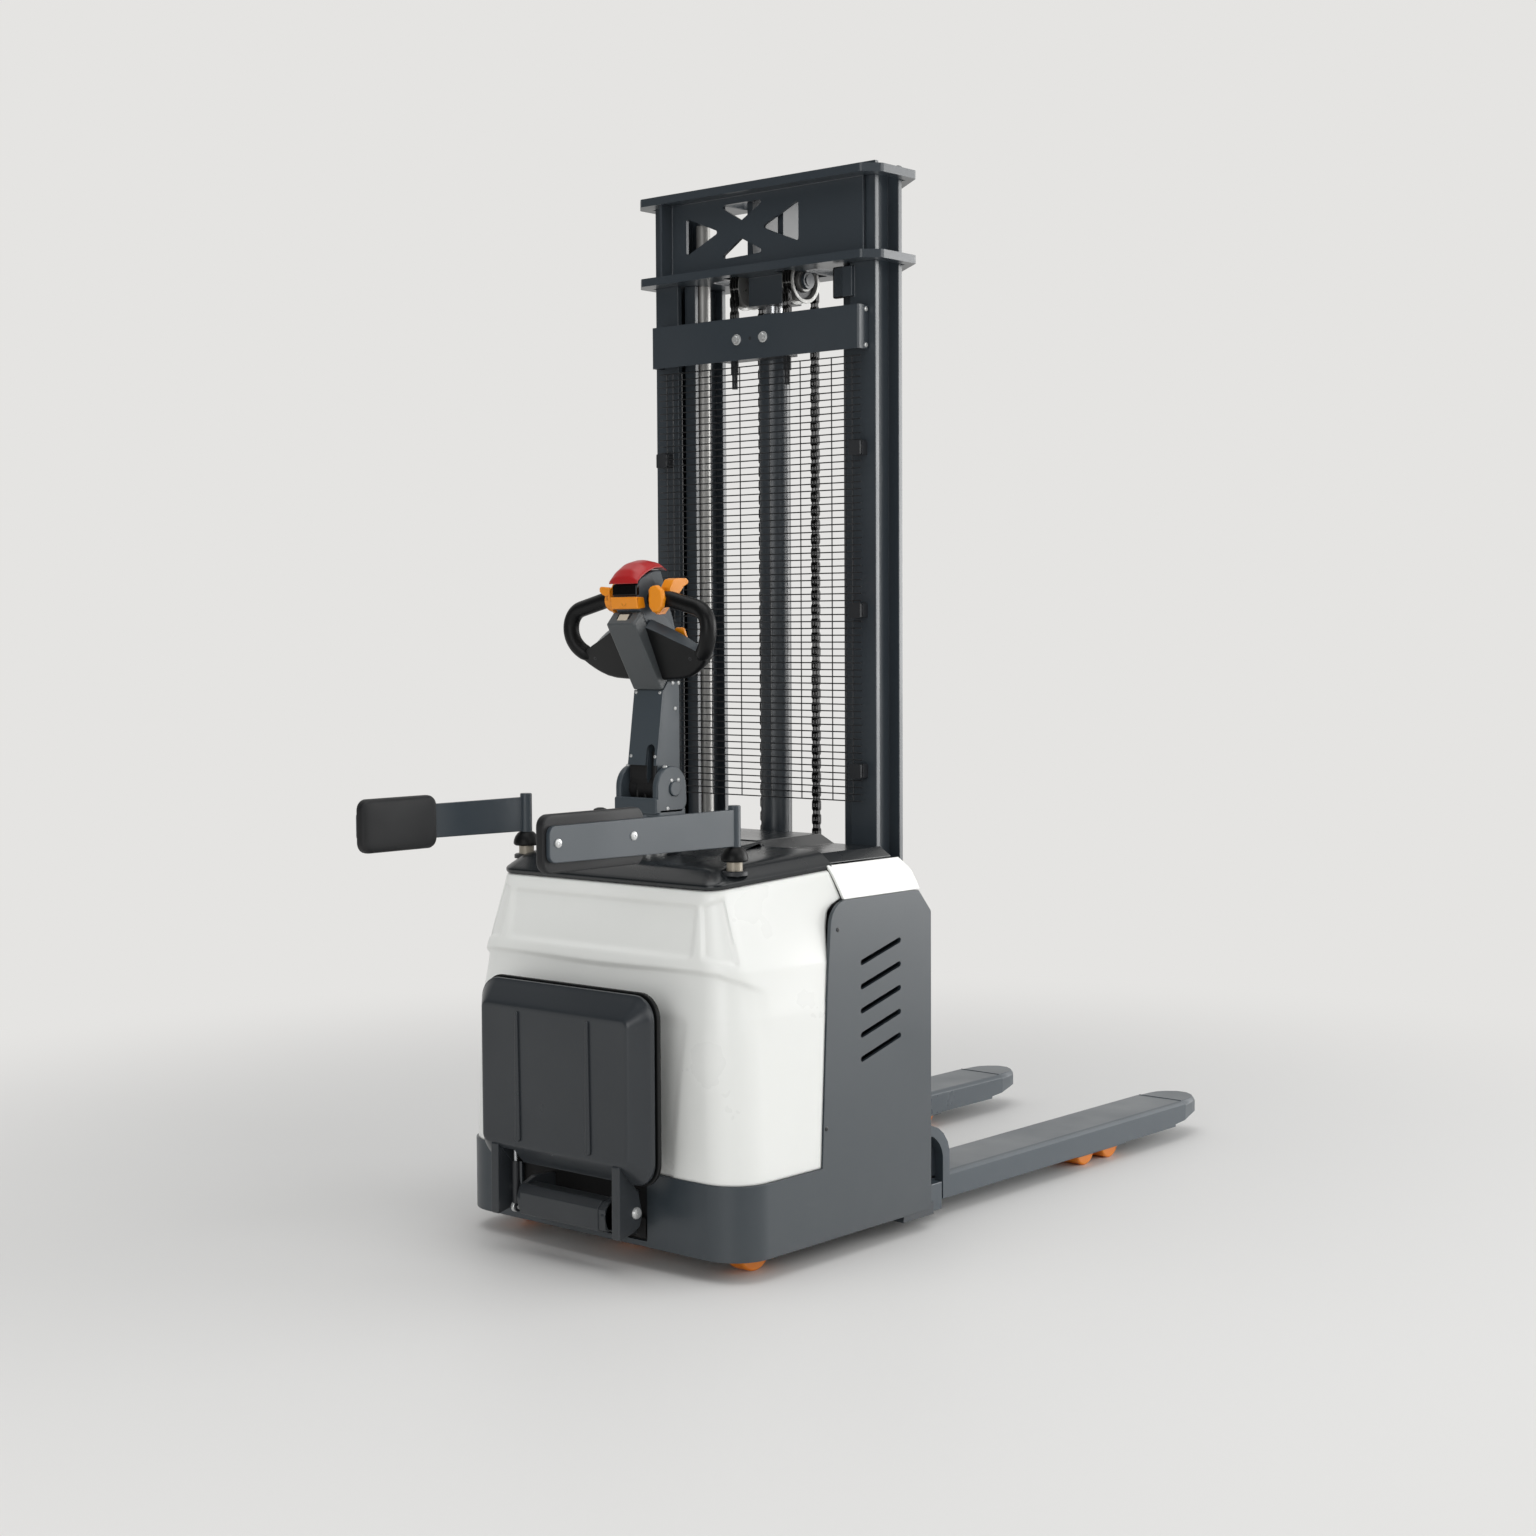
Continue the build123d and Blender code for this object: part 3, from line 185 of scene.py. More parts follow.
def inset(outline: Sequence[Point2], distance: float) -> list[Point2]:
    """Draws a closed outline in.

    Args:
        outline: The outline's points.
        distance: How far every side moves in.

    Returns:
        The smaller outline, point by point.
    """
    if distance == 0:
        return list(outline)
    following = list(outline[1:]) + [outline[0]]
    area = sum(a[0] * b[1] - b[0] * a[1] for a, b in zip(outline, following))
    sign = 1.0 if area > 0 else -1.0
    drawn = []
    for index, point in enumerate(outline):
        here = Vector(point)
        before = (here - Vector(outline[index - 1])).normalized()
        after = (Vector(following[index]) - here).normalized()
        normal = sign * (Vector((-before.y, before.x)) + Vector((-after.y, after.x)))
        scale = max(LEAST_OPENING, 1 + before.dot(after))
        drawn.append(tuple(here + normal * (distance / scale)))
    return drawn


def rectangle(left: float, right: float, low: float, high: float) -> list[Point2]:
    """Returns the four corners of a rectangle."""
    return [(left, low), (right, low), (right, high), (left, high)]


def span(side: int, low: float, high: float) -> tuple[float, float]:
    """Returns a range on the right, or its mirror on the left."""
    return (low, high) if side > 0 else (-high, -low)


def on_grip(across: float, up: float, proud: float = 0.0) -> Vector:
    """Returns a point of the tilted handle plane, counted from its middle."""
    return Vector((across,
                   GRIP_MIDDLE[0] - up * math.sin(GRIP_TILT) - proud * math.cos(GRIP_TILT),
                   GRIP_MIDDLE[1] + up * math.cos(GRIP_TILT) - proud * math.sin(GRIP_TILT)))


def screw_head(wide: float, tall: float) -> Outline:
    """Returns the screw head's profile, scaled in radius and height."""
    return tuple((radius * wide, height * tall) for radius, height in SCREW_HEAD)


def fill(tree: Tree, node: bpy.types.Node, inputs: dict[str | int, object]) -> None:
    """Sets or links the inputs of a shader node.

    Args:
        tree: The node's tree.
        node: The node to fill.
        inputs: Values, or sockets to link from, by the input's name or number.
    """
    for label, value in inputs.items():
        if isinstance(value, Socket):
            tree.links.new(value, node.inputs[label])
        else:
            node.inputs[label].default_value = value


def add_node(tree: Tree, kind: str, inputs: dict[str | int, object],
             **settings: object) -> bpy.types.Node:
    """Adds a shader node.

    Args:
        tree: The tree that gets the node.
        kind: The node's type, without its ShaderNode prefix.
        inputs: Values, or sockets to link from, by the input's name or number.
        settings: The node's own settings, such as its operation.

    Returns:
        The new node.
    """
    node = tree.nodes.new(f"ShaderNode{kind}")
    for label, value in settings.items():
        setattr(node, label, value)
    fill(tree, node, inputs)
    return node


def product(tree: Tree, first: Socket, second: Socket) -> Socket:
    """Returns a socket with the product of two others."""
    return add_node(tree, "Math", {0: first, 1: second}, operation="MULTIPLY").outputs["Value"]


class Effects:
    """Shader node groups that several finishes share, each built once."""

    @staticmethod
    def start(name: str, inputs: dict[str, float], outputs: Sequence[str]) -> tuple:
        """Opens a new group with value sockets.

        Args:
            name: The group's name.
            inputs: Input names with their defaults.
            outputs: Output names.

        Returns:
            The tree, its input sockets, its output node and a coordinate socket.
        """
        tree = bpy.data.node_groups.new(name, "ShaderNodeTree")
        for label, value in inputs.items():
            socket = tree.interface.new_socket(label, in_out="INPUT", socket_type="NodeSocketFloat")
            socket.default_value = value
        for label in outputs:
            tree.interface.new_socket(label, in_out="OUTPUT", socket_type="NodeSocketFloat")
        entry = tree.nodes.new("NodeGroupInput")
        leave = tree.nodes.new("NodeGroupOutput")
        where = add_node(tree, "TexCoord", {})
        return tree, entry.outputs, leave, where.outputs["Object"]

    @cached_property
    def grain(self) -> Tree:
        """A fine moulded or sprayed grain with a broad, slow mottle."""
        tree, entry, leave, where = self.start("grain", {"Fine": 900.0, "Broad": 6.0},
                                               ("Height", "Mottle"))
        for label, detail, result in (("Fine", 2.0, "Height"), ("Broad", 4.0, "Mottle")):
            noise = add_node(tree, "TexNoise", {"Vector": where, "Scale": entry[label],
                                                "Detail": detail})
            fill(tree, leave, {result: noise.outputs["Fac"]})
        return tree

    @cached_property
    def scuff(self) -> Tree:
        """Thin scratches and rubbed patches, drawn out along the truck."""
        tree, entry, leave, where = self.start("scuff", {"Scale": 30.0, "Amount": 0.4}, ("Mask",))
        stretch = add_node(tree, "Mapping", {"Vector": where, "Scale": (6.0, 0.35, 2.0)})
        lines = add_node(tree, "TexNoise", {"Vector": stretch.outputs["Vector"],
                                            "Scale": entry["Scale"], "Detail": 6.0,
                                            "Roughness": 0.65})
        patches = add_node(tree, "TexNoise", {"Vector": where, "Scale": 3.0})
        level = add_node(tree, "MapRange", {"Value": lines.outputs["Fac"],
                                            "From Min": 0.58, "From Max": 0.78})
        area = add_node(tree, "MapRange", {"Value": patches.outputs["Fac"],
                                           "From Min": 0.42, "From Max": 0.68})
        both = product(tree, level.outputs["Result"], area.outputs["Result"])
        fill(tree, leave, {"Mask": product(tree, both, entry["Amount"])})
        return tree

    @cached_property
    def dust(self) -> Tree:
        """Floor dust that thins out with height."""
        tree, entry, leave, where = self.start("dust", {"Reach": 0.3, "Amount": 0.2}, ("Mask",))
        parts = add_node(tree, "SeparateXYZ", {"Vector": where})
        fall = add_node(tree, "MapRange", {"Value": parts.outputs["Z"], "From Min": 0.0,
                                           "From Max": entry["Reach"],
                                           "To Min": 1.0, "To Max": 0.0})
        cloud = add_node(tree, "TexNoise", {"Vector": where, "Scale": 14.0, "Detail": 5.0})
        both = product(tree, fall.outputs["Result"], cloud.outputs["Fac"])
        fill(tree, leave, {"Mask": product(tree, both, entry["Amount"])})
        return tree


EFFECTS = Effects()


@dataclass(frozen=True)
class Finish:
    """One surface finish of the truck, with scene-linear colours."""

    name: str
    colour: Colour
    shade: Colour
    roughness: float
    spread: float = 0.08
    metallic: float = 0
    coat: float = 0
    coat_roughness: float = 0.08
    fine: float = 900
    broad: float = 6
    bump: float = 0.1
    depth: float = 0.0003
    scuff: float = 0
    scuff_scale: float = 30
    worn: Colour = (0.3, 0.3, 0.3)
    dust: float = 0
    dust_reach: float = 0.3
    dirt: Colour = (0.42, 0.4, 0.37)
    specular: float = 0.5
    subsurface: float = 0
    subsurface_reach: Point3 = (0.012, 0.005, 0.002)
    mottle: Point2 = (0.3, 0.7)
    smoothest: float = 0.02

    def material(self) -> bpy.types.Material:
        """Returns the finish's material, building it on first use."""
        ready = bpy.data.materials.get(f"{self.name}_look")
        return ready if ready else self.build()

    def build(self) -> bpy.types.Material:
        """Builds the finish's nodes.

        Returns:
            The new material.
        """
        made = bpy.data.materials.new(f"{self.name}_look")
        made.use_nodes = True
        tree = made.node_tree
        grain = add_node(tree, "Group", {"Fine": self.fine, "Broad": self.broad},
                         node_tree=EFFECTS.grain).outputs
        tone = self.mix(tree, grain["Mottle"], self.colour, self.shade)
        if self.scuff > 0:
            rubbed = add_node(tree, "Group", {"Scale": self.scuff_scale, "Amount": self.scuff},
                              node_tree=EFFECTS.scuff)
            tone = self.mix(tree, rubbed.outputs["Mask"], tone, self.worn)
        if self.dust > 0:
            settled = add_node(tree, "Group", {"Reach": self.dust_reach, "Amount": self.dust},
                               node_tree=EFFECTS.dust)
            tone = self.mix(tree, settled.outputs["Mask"], tone, self.dirt)
        rough = add_node(tree, "MapRange", {
            "Value": grain["Mottle"], "From Min": self.mottle[0], "From Max": self.mottle[1],
            "To Min": max(self.smoothest, self.roughness - self.spread),
            "To Max": self.roughness + self.spread})
        bump = add_node(tree, "Bump", {"Height": grain["Height"], "Strength": self.bump,
                                       "Distance": self.depth})
        fill(tree, tree.nodes["Principled BSDF"], {
            "Base Color": tone, "Roughness": rough.outputs["Result"],
            "Normal": bump.outputs["Normal"], "Metallic": self.metallic,
            "Coat Weight": self.coat, "Coat Roughness": self.coat_roughness,
            "Specular IOR Level": self.specular, "Subsurface Weight": self.subsurface,
            "Subsurface Radius": self.subsurface_reach})
        return made

    @staticmethod
    def mix(tree: Tree, mask: Socket, first: Colour | Socket, second: Colour) -> Socket:
        """Mixes two colours by a mask.

        Args:
            tree: The material's node tree.
            mask: The socket that drives the mix.
            first: A colour, or the socket that gives one.
            second: The colour where the mask is 1.

        Returns:
            The mixed colour's socket.
        """
        first_input, second_input, result = 6, 7, 2
        start = first if isinstance(first, Socket) else (*first, 1.0)
        node = add_node(tree, "Mix", {"Factor": mask, first_input: start,
                                      second_input: (*second, 1.0)}, data_type="RGBA")
        return node.outputs[result]


SLATE = Finish("slate_paint", linear(52, 60, 66), linear(47, 55, 61), 0.36, 0.05, fine=700,
               specular=0.7, dust=0.04, dust_reach=0.2, scuff=0.06, worn=linear(92, 98, 102))
SLATE_DARK = Finish("slate_dark", linear(47, 51, 55), linear(42, 46, 50), 0.32, 0.05, fine=700,
                    bump=0.08, dust=0.06, dust_reach=0.25, scuff=0.08, worn=linear(100, 105, 108))
MAST_PAINT = Finish("mast_paint", linear(50, 57, 63), linear(45, 52, 58), 0.34, 0.05, fine=700,
                    specular=0.8, scuff=0.06, worn=linear(96, 102, 106))
FORK_PAINT = Finish("fork_paint", linear(72, 81, 88), linear(66, 75, 82), 0.32, 0.05, fine=700,
                    bump=0.08, specular=0.6, scuff=0.08, worn=linear(112, 119, 124), dust=0.02,
                    dust_reach=0.12)
ARM_PAINT = Finish("arm_paint", linear(57, 65, 72), linear(52, 60, 66), 0.36, 0.05, fine=700,
                   scuff=0.06, worn=linear(100, 104, 107))
COVER_WHITE = Finish("cover_white", linear(238, 239, 236), linear(234, 235, 231), 0.3, 0.04,
                     fine=500, bump=0.03, dust=0.06, dust_reach=0.5, dirt=linear(200, 196, 188))
DECK_GLOSS = Finish("deck_gloss", linear(30, 33, 36), linear(26, 29, 31), 0.26, 0.05, fine=600,
                    bump=0.04, coat=0.1, scuff=0.05, worn=linear(80, 84, 87))
BLACK_GRAIN = Finish("black_grain", linear(18, 19, 20), linear(14, 15, 16), 0.46, 0.06, fine=1100,
                     bump=0.2, specular=0.3)
DARK_GREY = Finish("dark_grey_grain", linear(66, 74, 80), linear(60, 68, 74), 0.38, 0.06,
                   fine=1000, bump=0.14)
WEDGE_GREY = Finish("wedge_grey", linear(74, 78, 80), linear(67, 71, 73), 0.42, 0.06, fine=1000,
                    bump=0.14)
WING_BLACK = Finish("wing_black", linear(13, 14, 15), linear(10, 11, 12), 0.4, 0.06, fine=1000,
                    bump=0.14, specular=0.3)
PAD_RUBBER = Finish("pad_rubber", linear(24, 25, 27), linear(20, 21, 23), 0.55, 0.06, fine=420,
                    bump=0.3, specular=0.4)
GRIP_RUBBER = Finish("grip_rubber", linear(14, 15, 16), linear(10, 11, 12), 0.4, 0.06,
                     bump=0.16, specular=0.22)
CAP_RED = Finish("cap_red", linear(176, 26, 28), linear(162, 22, 24), 0.34, 0.06, fine=1000)
LEVER_YELLOW = Finish("lever_yellow", linear(236, 146, 12), linear(228, 136, 10), 0.38, 0.06,
                      fine=1000)
BAR_MARK = Finish("bar_mark", linear(206, 146, 44), linear(196, 136, 40), 0.45, 0.05)
WHEEL_ORANGE = Finish("wheel_orange", linear(244, 142, 26), linear(236, 132, 22), 0.4, 0.06,
                      fine=300, subsurface=0.1, scuff=0.15, worn=linear(160, 84, 24),
                      dust=0.06, dust_reach=0.06)
CHROME = Finish("chrome_rod", linear(200, 202, 204), linear(190, 192, 195), 0.2, 0.04,
                metallic=0.75, fine=1500, bump=0.03)
TUBE_SILVER = Finish("tube_silver", linear(172, 171, 168), linear(158, 157, 154), 0.4, 0.06,
                     metallic=0.4, bump=0.08)
ZINC = Finish("bright_zinc", linear(205, 206, 205), linear(184, 186, 186), 0.3,
              metallic=0.55, fine=800, broad=60, bump=0.08)
BLACK_STEEL = Finish("black_steel", linear(40, 42, 45), linear(33, 35, 38), 0.4, fine=700,
                     bump=0.12, scuff=0.12, worn=linear(90, 92, 94))
CHAIN_STEEL = Finish("chain_steel", linear(46, 46, 46), linear(30, 30, 30), 0.36, 0.1,
                     metallic=0.7, fine=500, broad=120, bump=0.15)
PULLEY_STEEL = Finish("pulley_steel", linear(150, 150, 148), linear(120, 120, 118), 0.34,
                      metallic=0.6, broad=50, bump=0.08)
WIRE_BLACK = Finish("wire_black", linear(30, 31, 33), linear(24, 25, 27), 0.45, 0.06, bump=0.08)
BUSH_TAN = Finish("bush_tan", linear(168, 160, 146), linear(146, 138, 124), 0.4,
                  metallic=0.35, broad=40)
CASTING = Finish("casting", linear(62, 64, 66), linear(52, 54, 56), 0.6, fine=260, bump=0.5,
                 depth=0.0006)
BATTERY = Finish("battery_case", linear(48, 50, 54), linear(42, 44, 48), 0.5, 0.06, fine=700,
                 bump=0.2)
ALLOY = Finish("blasted_alloy", linear(176, 178, 180), linear(164, 166, 168), 0.42, 0.06,
               metallic=1.0, bump=0.12)
# Near-black painted shade, put on sheets and faces that stand in for gaps and recesses in shadow.
PAINTED_SHADE = Finish("painted_shade", linear(16, 16, 17), linear(12, 12, 13), 0.7, 0.05)
DISPLAY = Finish("display_cream", linear(196, 186, 168), linear(184, 174, 156), 0.2, 0.04, coat=0.6)
WINDOW = Finish("gloss_window", linear(12, 12, 13), linear(10, 10, 11), 0.1, 0.02, bump=0.02,
                specular=0.4)


class Shape:
    """A mesh under construction, in millimetres, with Y counted from the skirt's rear face."""

    MERGE: float = 0.01
    POLE_MERGE: float = 0.005
    SLIVER: float = 0.03
    FLAT: float = math.radians(0.6)
    ROOM: float = 1.6

    def __init__(self, node: str | None = None) -> None:
        """Starts empty, or from a merged copy of a CAD node.

        Args:
            node: The CAD node's name, or None for an empty mesh.
        """
        self.bm = bmesh.new()
        self.paint = 0
        if node:
            self.bm.from_mesh(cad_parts[node].data)
            self.bm.transform(TO_FRAME.inverted())
            for face in self.bm.faces:
                face.material_index = 0
            bmesh.ops.remove_doubles(self.bm, verts=self.bm.verts, dist=self.MERGE)
            bmesh.ops.dissolve_limit(self.bm, angle_limit=self.FLAT, verts=self.bm.verts,
                                     edges=self.bm.edges)

    def mark(self, faces: Iterable[Face]) -> None:
        """Gives faces the current paint."""
        for face in faces:
            face.material_index = self.paint

    def block(self, low: Point3, high: Point3) -> None:
        """Makes a box.

        Args:
            low: The corner with the smallest coordinates.
            high: The corner with the largest coordinates.
        """
        size = [b - a for a, b in zip(low, high)]
        middle = [(a + b) / 2 for a, b in zip(low, high)]
        place = Matrix.Translation(middle) @ Matrix.Diagonal((*size, 1.0))
        verts = bmesh.ops.create_cube(self.bm, size=1.0, matrix=place)["verts"]
        self.mark({face for vert in verts for face in vert.link_faces})

    def rod(self, start: Point3, end: Point3, radius: float, steps: int = 32) -> None:
        """Makes a round bar between two points.

        Args:
            start: Centre of the first end.
            end: Centre of the second end.
            radius: The bar's radius.
            steps: Sides around the bar.
        """
        a, b = Vector(start), Vector(end)
        turn = (b - a).to_track_quat("Z", "Y").to_matrix().to_4x4()
        verts = bmesh.ops.create_cone(self.bm, cap_ends=True, segments=steps, radius1=radius,
                                      radius2=radius, depth=(b - a).length,
                                      matrix=Matrix.Translation((a + b) / 2) @ turn)["verts"]
        self.mark({face for vert in verts for face in vert.link_faces})

    def lathe(self, centre: Point3, direction: Point3, profile: Sequence[Point2],
              steps: int = 40) -> None:
        """Turns a profile of (radius, height) points about an axis.

        Args:
            centre: A point on the axis, at height 0.
            direction: The axis direction.
            profile: Radius and height pairs, as a closed ring or a line that ends on the axis.
            steps: Steps around the axis.
        """
        axis = Vector(direction).normalized()
        side = axis.orthogonal().normalized()
        origin = Vector(centre)
        ring = [self.bm.verts.new(origin + side * radius + axis * height)
                for radius, height in profile]
        edges = [self.bm.edges.new((a, b)) for a, b in zip(ring, ring[1:])]
        if profile[0][0] > 0 and profile[-1][0] > 0:
            edges.append(self.bm.edges.new((ring[-1], ring[0])))
        bmesh.ops.spin(self.bm, geom=ring + edges, cent=origin, axis=axis, angle=math.tau,
                       steps=steps, use_merge=True)
        island = self.island({face for vert in ring for face in vert.link_faces})
        bmesh.ops.remove_doubles(self.bm, verts=list({v for f in island for v in f.verts}),
                                 dist=self.POLE_MERGE)
        island = self.island({face for vert in ring if vert.is_valid for face in vert.link_faces})
        bmesh.ops.recalc_face_normals(self.bm, faces=list(island))
        self.mark(island)

    def loft(self, rings: Sequence[Sequence[Vector]]) -> None:
        """Bridges closed rings of points into a closed skin.

        Args:
            rings: The rings in order, with equal counts.
        """
        loops = []
        for ring in rings:
            verts = [self.bm.verts.new(point) for point in ring]
            edges = [self.bm.edges.new((a, b)) for a, b in zip(verts, verts[1:] + verts[:1])]
            loops.append((verts, edges))
        for (_, first), (_, second) in zip(loops, loops[1:]):
            bmesh.ops.bridge_loops(self.bm, edges=first + second)
        for verts, _ in (loops[0], loops[-1]):
            self.bm.faces.new(verts)
        verts = [vert for ring, _ in loops for vert in ring]
        faces = list({face for vert in verts for face in vert.link_faces})
        bmesh.ops.recalc_face_normals(self.bm, faces=faces)
        self.mark(faces)

    def slab(self, place: Callable[[Point2, float], Vector], outline: Sequence[Point2], low: float,
             high: float, edge: float = 0.0, steps: int = 3) -> None:
        """Draws an outline out into a slab, with both end edges rounded.

        Args:
            place: Puts an outline point at a depth.
            outline: The closed outline in the two other axes.
            low: Where the slab starts.
            high: Where the slab ends.
            edge: Radius of the end edges.
            steps: Steps across each round.
        """
        ends = [(0.0, 0.0)]
        if edge > 0:
            turns = [math.pi / 2 * step / steps for step in range(steps + 1)]
            ends = [(edge * (1 - math.sin(turn)), edge * (1 - math.cos(turn))) for turn in turns]
        levels = [(draw, low + rise) for draw, rise in ends]
        levels += [(draw, high - rise) for draw, rise in reversed(ends)]
        self.loft([[place(point, depth) for point in inset(outline, draw)]
                   for draw, depth in levels])

    def tube(self, path: Sequence[Vector], normal: Vector, radii: Sequence[float],
             sides: int = 24) -> None:
        """Runs a round tube along a path.

        Args:
            path: Points of the centre line.
            normal: A direction that the path never follows.
            radii: The tube's radius at each point.
            sides: Points around the tube.
        """
        rings = []
        turns = [math.tau * side / sides for side in range(sides)]
        for index, (point, radius) in enumerate(zip(path, radii)):
            ahead = path[min(index + 1, len(path) - 1)] - path[max(index - 1, 0)]
            out = ahead.cross(normal).normalized()
            lift = out.cross(ahead).normalized()
            rings.append([point + radius * (out * math.cos(turn) + lift * math.sin(turn))
                          for turn in turns])
        self.loft(rings)

    @staticmethod
    def island(seed: Iterable[Face]) -> set[Face]:
        """Collects all faces that are joined to some faces.

        Args:
            seed: The faces to start from.

        Returns:
            The joined faces, with the seed.
        """
        found = set(seed)
        queue = list(found)
        while queue:
            for edge in queue.pop().edges:
                for other in edge.link_faces:
                    if other not in found:
                        found.add(other)
                        queue.append(other)
        return found

    def soften(self, width: float, angle: float = 32.0, segments: int = 2,
               only: Callable[[Edge], bool] | None = None) -> None:
        """Rounds the sharp edges that have room for it.

        Args:
            width: Width of the round.
            angle: Edges that turn more than this many degrees are rounded.
            segments: Steps across the round.
            only: A further test that an edge has to pass.
        """
        limit = math.radians(angle)
        edges = [edge for edge in self.bm.edges
                 if edge.is_manifold and edge.calc_face_angle(0.0) > limit
                 and (only is None or only(edge))
                 and all(other.calc_length() >= self.ROOM * width
                         for vert in edge.verts for other in vert.link_edges)]
        for chain in self.chains(edges):
            bmesh.ops.bevel(self.bm, geom=[edge for edge in chain if edge.is_valid], offset=width,
                            offset_type="OFFSET", segments=segments, profile=0.5, affect="EDGES",
                            clamp_overlap=True, material=-1)
        bmesh.ops.dissolve_degenerate(self.bm, dist=self.SLIVER, edges=self.bm.edges)

    @staticmethod
    def chains(edges: Sequence[Edge]) -> list[list[Edge]]:
        """Sorts edges into groups, so that a narrow spot limits the round of its own group only.

        Args:
            edges: The edges to sort.

        Returns:
            Groups that share no corner.
        """
        waiting = dict.fromkeys(edges)
        groups = []
        while waiting:
            group = [next(iter(waiting))]
            del waiting[group[0]]
            for edge in group:
                for vert in edge.verts:
                    for other in vert.link_edges:
                        if other in waiting:
                            del waiting[other]
                            group.append(other)
            groups.append(group)
        return groups

    def carve(self, cutter: Shape) -> None:
        """Cuts another shape out of this one.

        Args:
            cutter: The shape to cut away, which is used up.
        """
        pair = []
        for shape in (self, cutter):
            mesh = bpy.data.meshes.new("carving")
            shape.bm.to_mesh(mesh)
            pair.append(bpy.data.objects.new("carving", mesh))
            bpy.context.collection.objects.link(pair[-1])
        step = pair[0].modifiers.new("carve", "BOOLEAN")
        step.operation = "DIFFERENCE"
        step.object = pair[1]
        bpy.context.view_layer.update()
        depsgraph = bpy.context.evaluated_depsgraph_get()
        carved = bpy.data.meshes.new_from_object(pair[0].evaluated_get(depsgraph))
        self.bm.clear()
        self.bm.from_mesh(carved)
        cutter.bm.free()
        for mesh in [made.data for made in pair] + [carved]:
            bpy.data.meshes.remove(mesh)

    def repaint(self, index: int, test: Callable[[Face], bool]) -> None:
        """Gives another paint to the faces that pass a test."""
        for face in self.bm.faces:
            if test(face):
                face.material_index = index

    def turn_out(self, face: Face, axis: int, sign: int) -> None:
        """Turns an open skin over if a face on its outside looks against the sign on an axis."""
        if face.normal[axis] * sign < 0:
            bmesh.ops.reverse_faces(self.bm, faces=self.bm.faces)

    def loose(self, name: str, finishes: Sequence[Finish],
              smooth: float = 35.0) -> bpy.types.Object:
        """Closes the shape into an object that rides on nothing yet.

        Args:
            name: The object's name.
            finishes: The finishes, in the order of the paint numbers.
            smooth: Edges that turn more than this many degrees stay sharp.

        Returns:
            The new object.
        """
        self.bm.transform(TO_FRAME)
        mesh = bpy.data.meshes.new(name)
        self.bm.to_mesh(mesh)
        self.bm.free()
        for finish in finishes:
            mesh.materials.append(finish.material())
        mesh.shade_smooth()
        mesh.set_sharp_from_angle(angle=math.radians(smooth))
        made = bpy.data.objects.new(name, mesh)
        bpy.context.collection.objects.link(made)
        return made

    def piece(self, name: str, body: str, finishes: Sequence[Finish], slot: str,
              stands_for: Sequence[str] = (), smooth: float = 35.0, weighted: bool = True,
              wall: float = 0.0) -> bpy.types.Object:
        """Closes the shape into a piece of the truck.

        Args:
            name: The piece's name.
            body: The CAD body that it rides on.
            finishes: The finishes, in the order of the paint numbers.
            slot: The record's material slot; not used.
            stands_for: The CAD nodes that the piece replaces.
            smooth: Edges that turn more than this many degrees stay sharp.
            weighted: Whether flat faces steer the shading.
            wall: The wall of an open skin, or 0 for a closed shape.

        Returns:
            The finished object.
        """
        made = self.loose(name, finishes, smooth)
        if weighted:
            normals = made.modifiers.new("normals", "WEIGHTED_NORMAL")
            normals.keep_sharp = True
        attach(made, body)
        if stands_for:
            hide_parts(*stands_for)
        if wall > 0:
            skin = made.modifiers.new("wall", "SOLIDIFY")
            skin.thickness = wall * MM
            skin.offset = -1.0
        LOG.info("%s on %s", name, body)
        return made


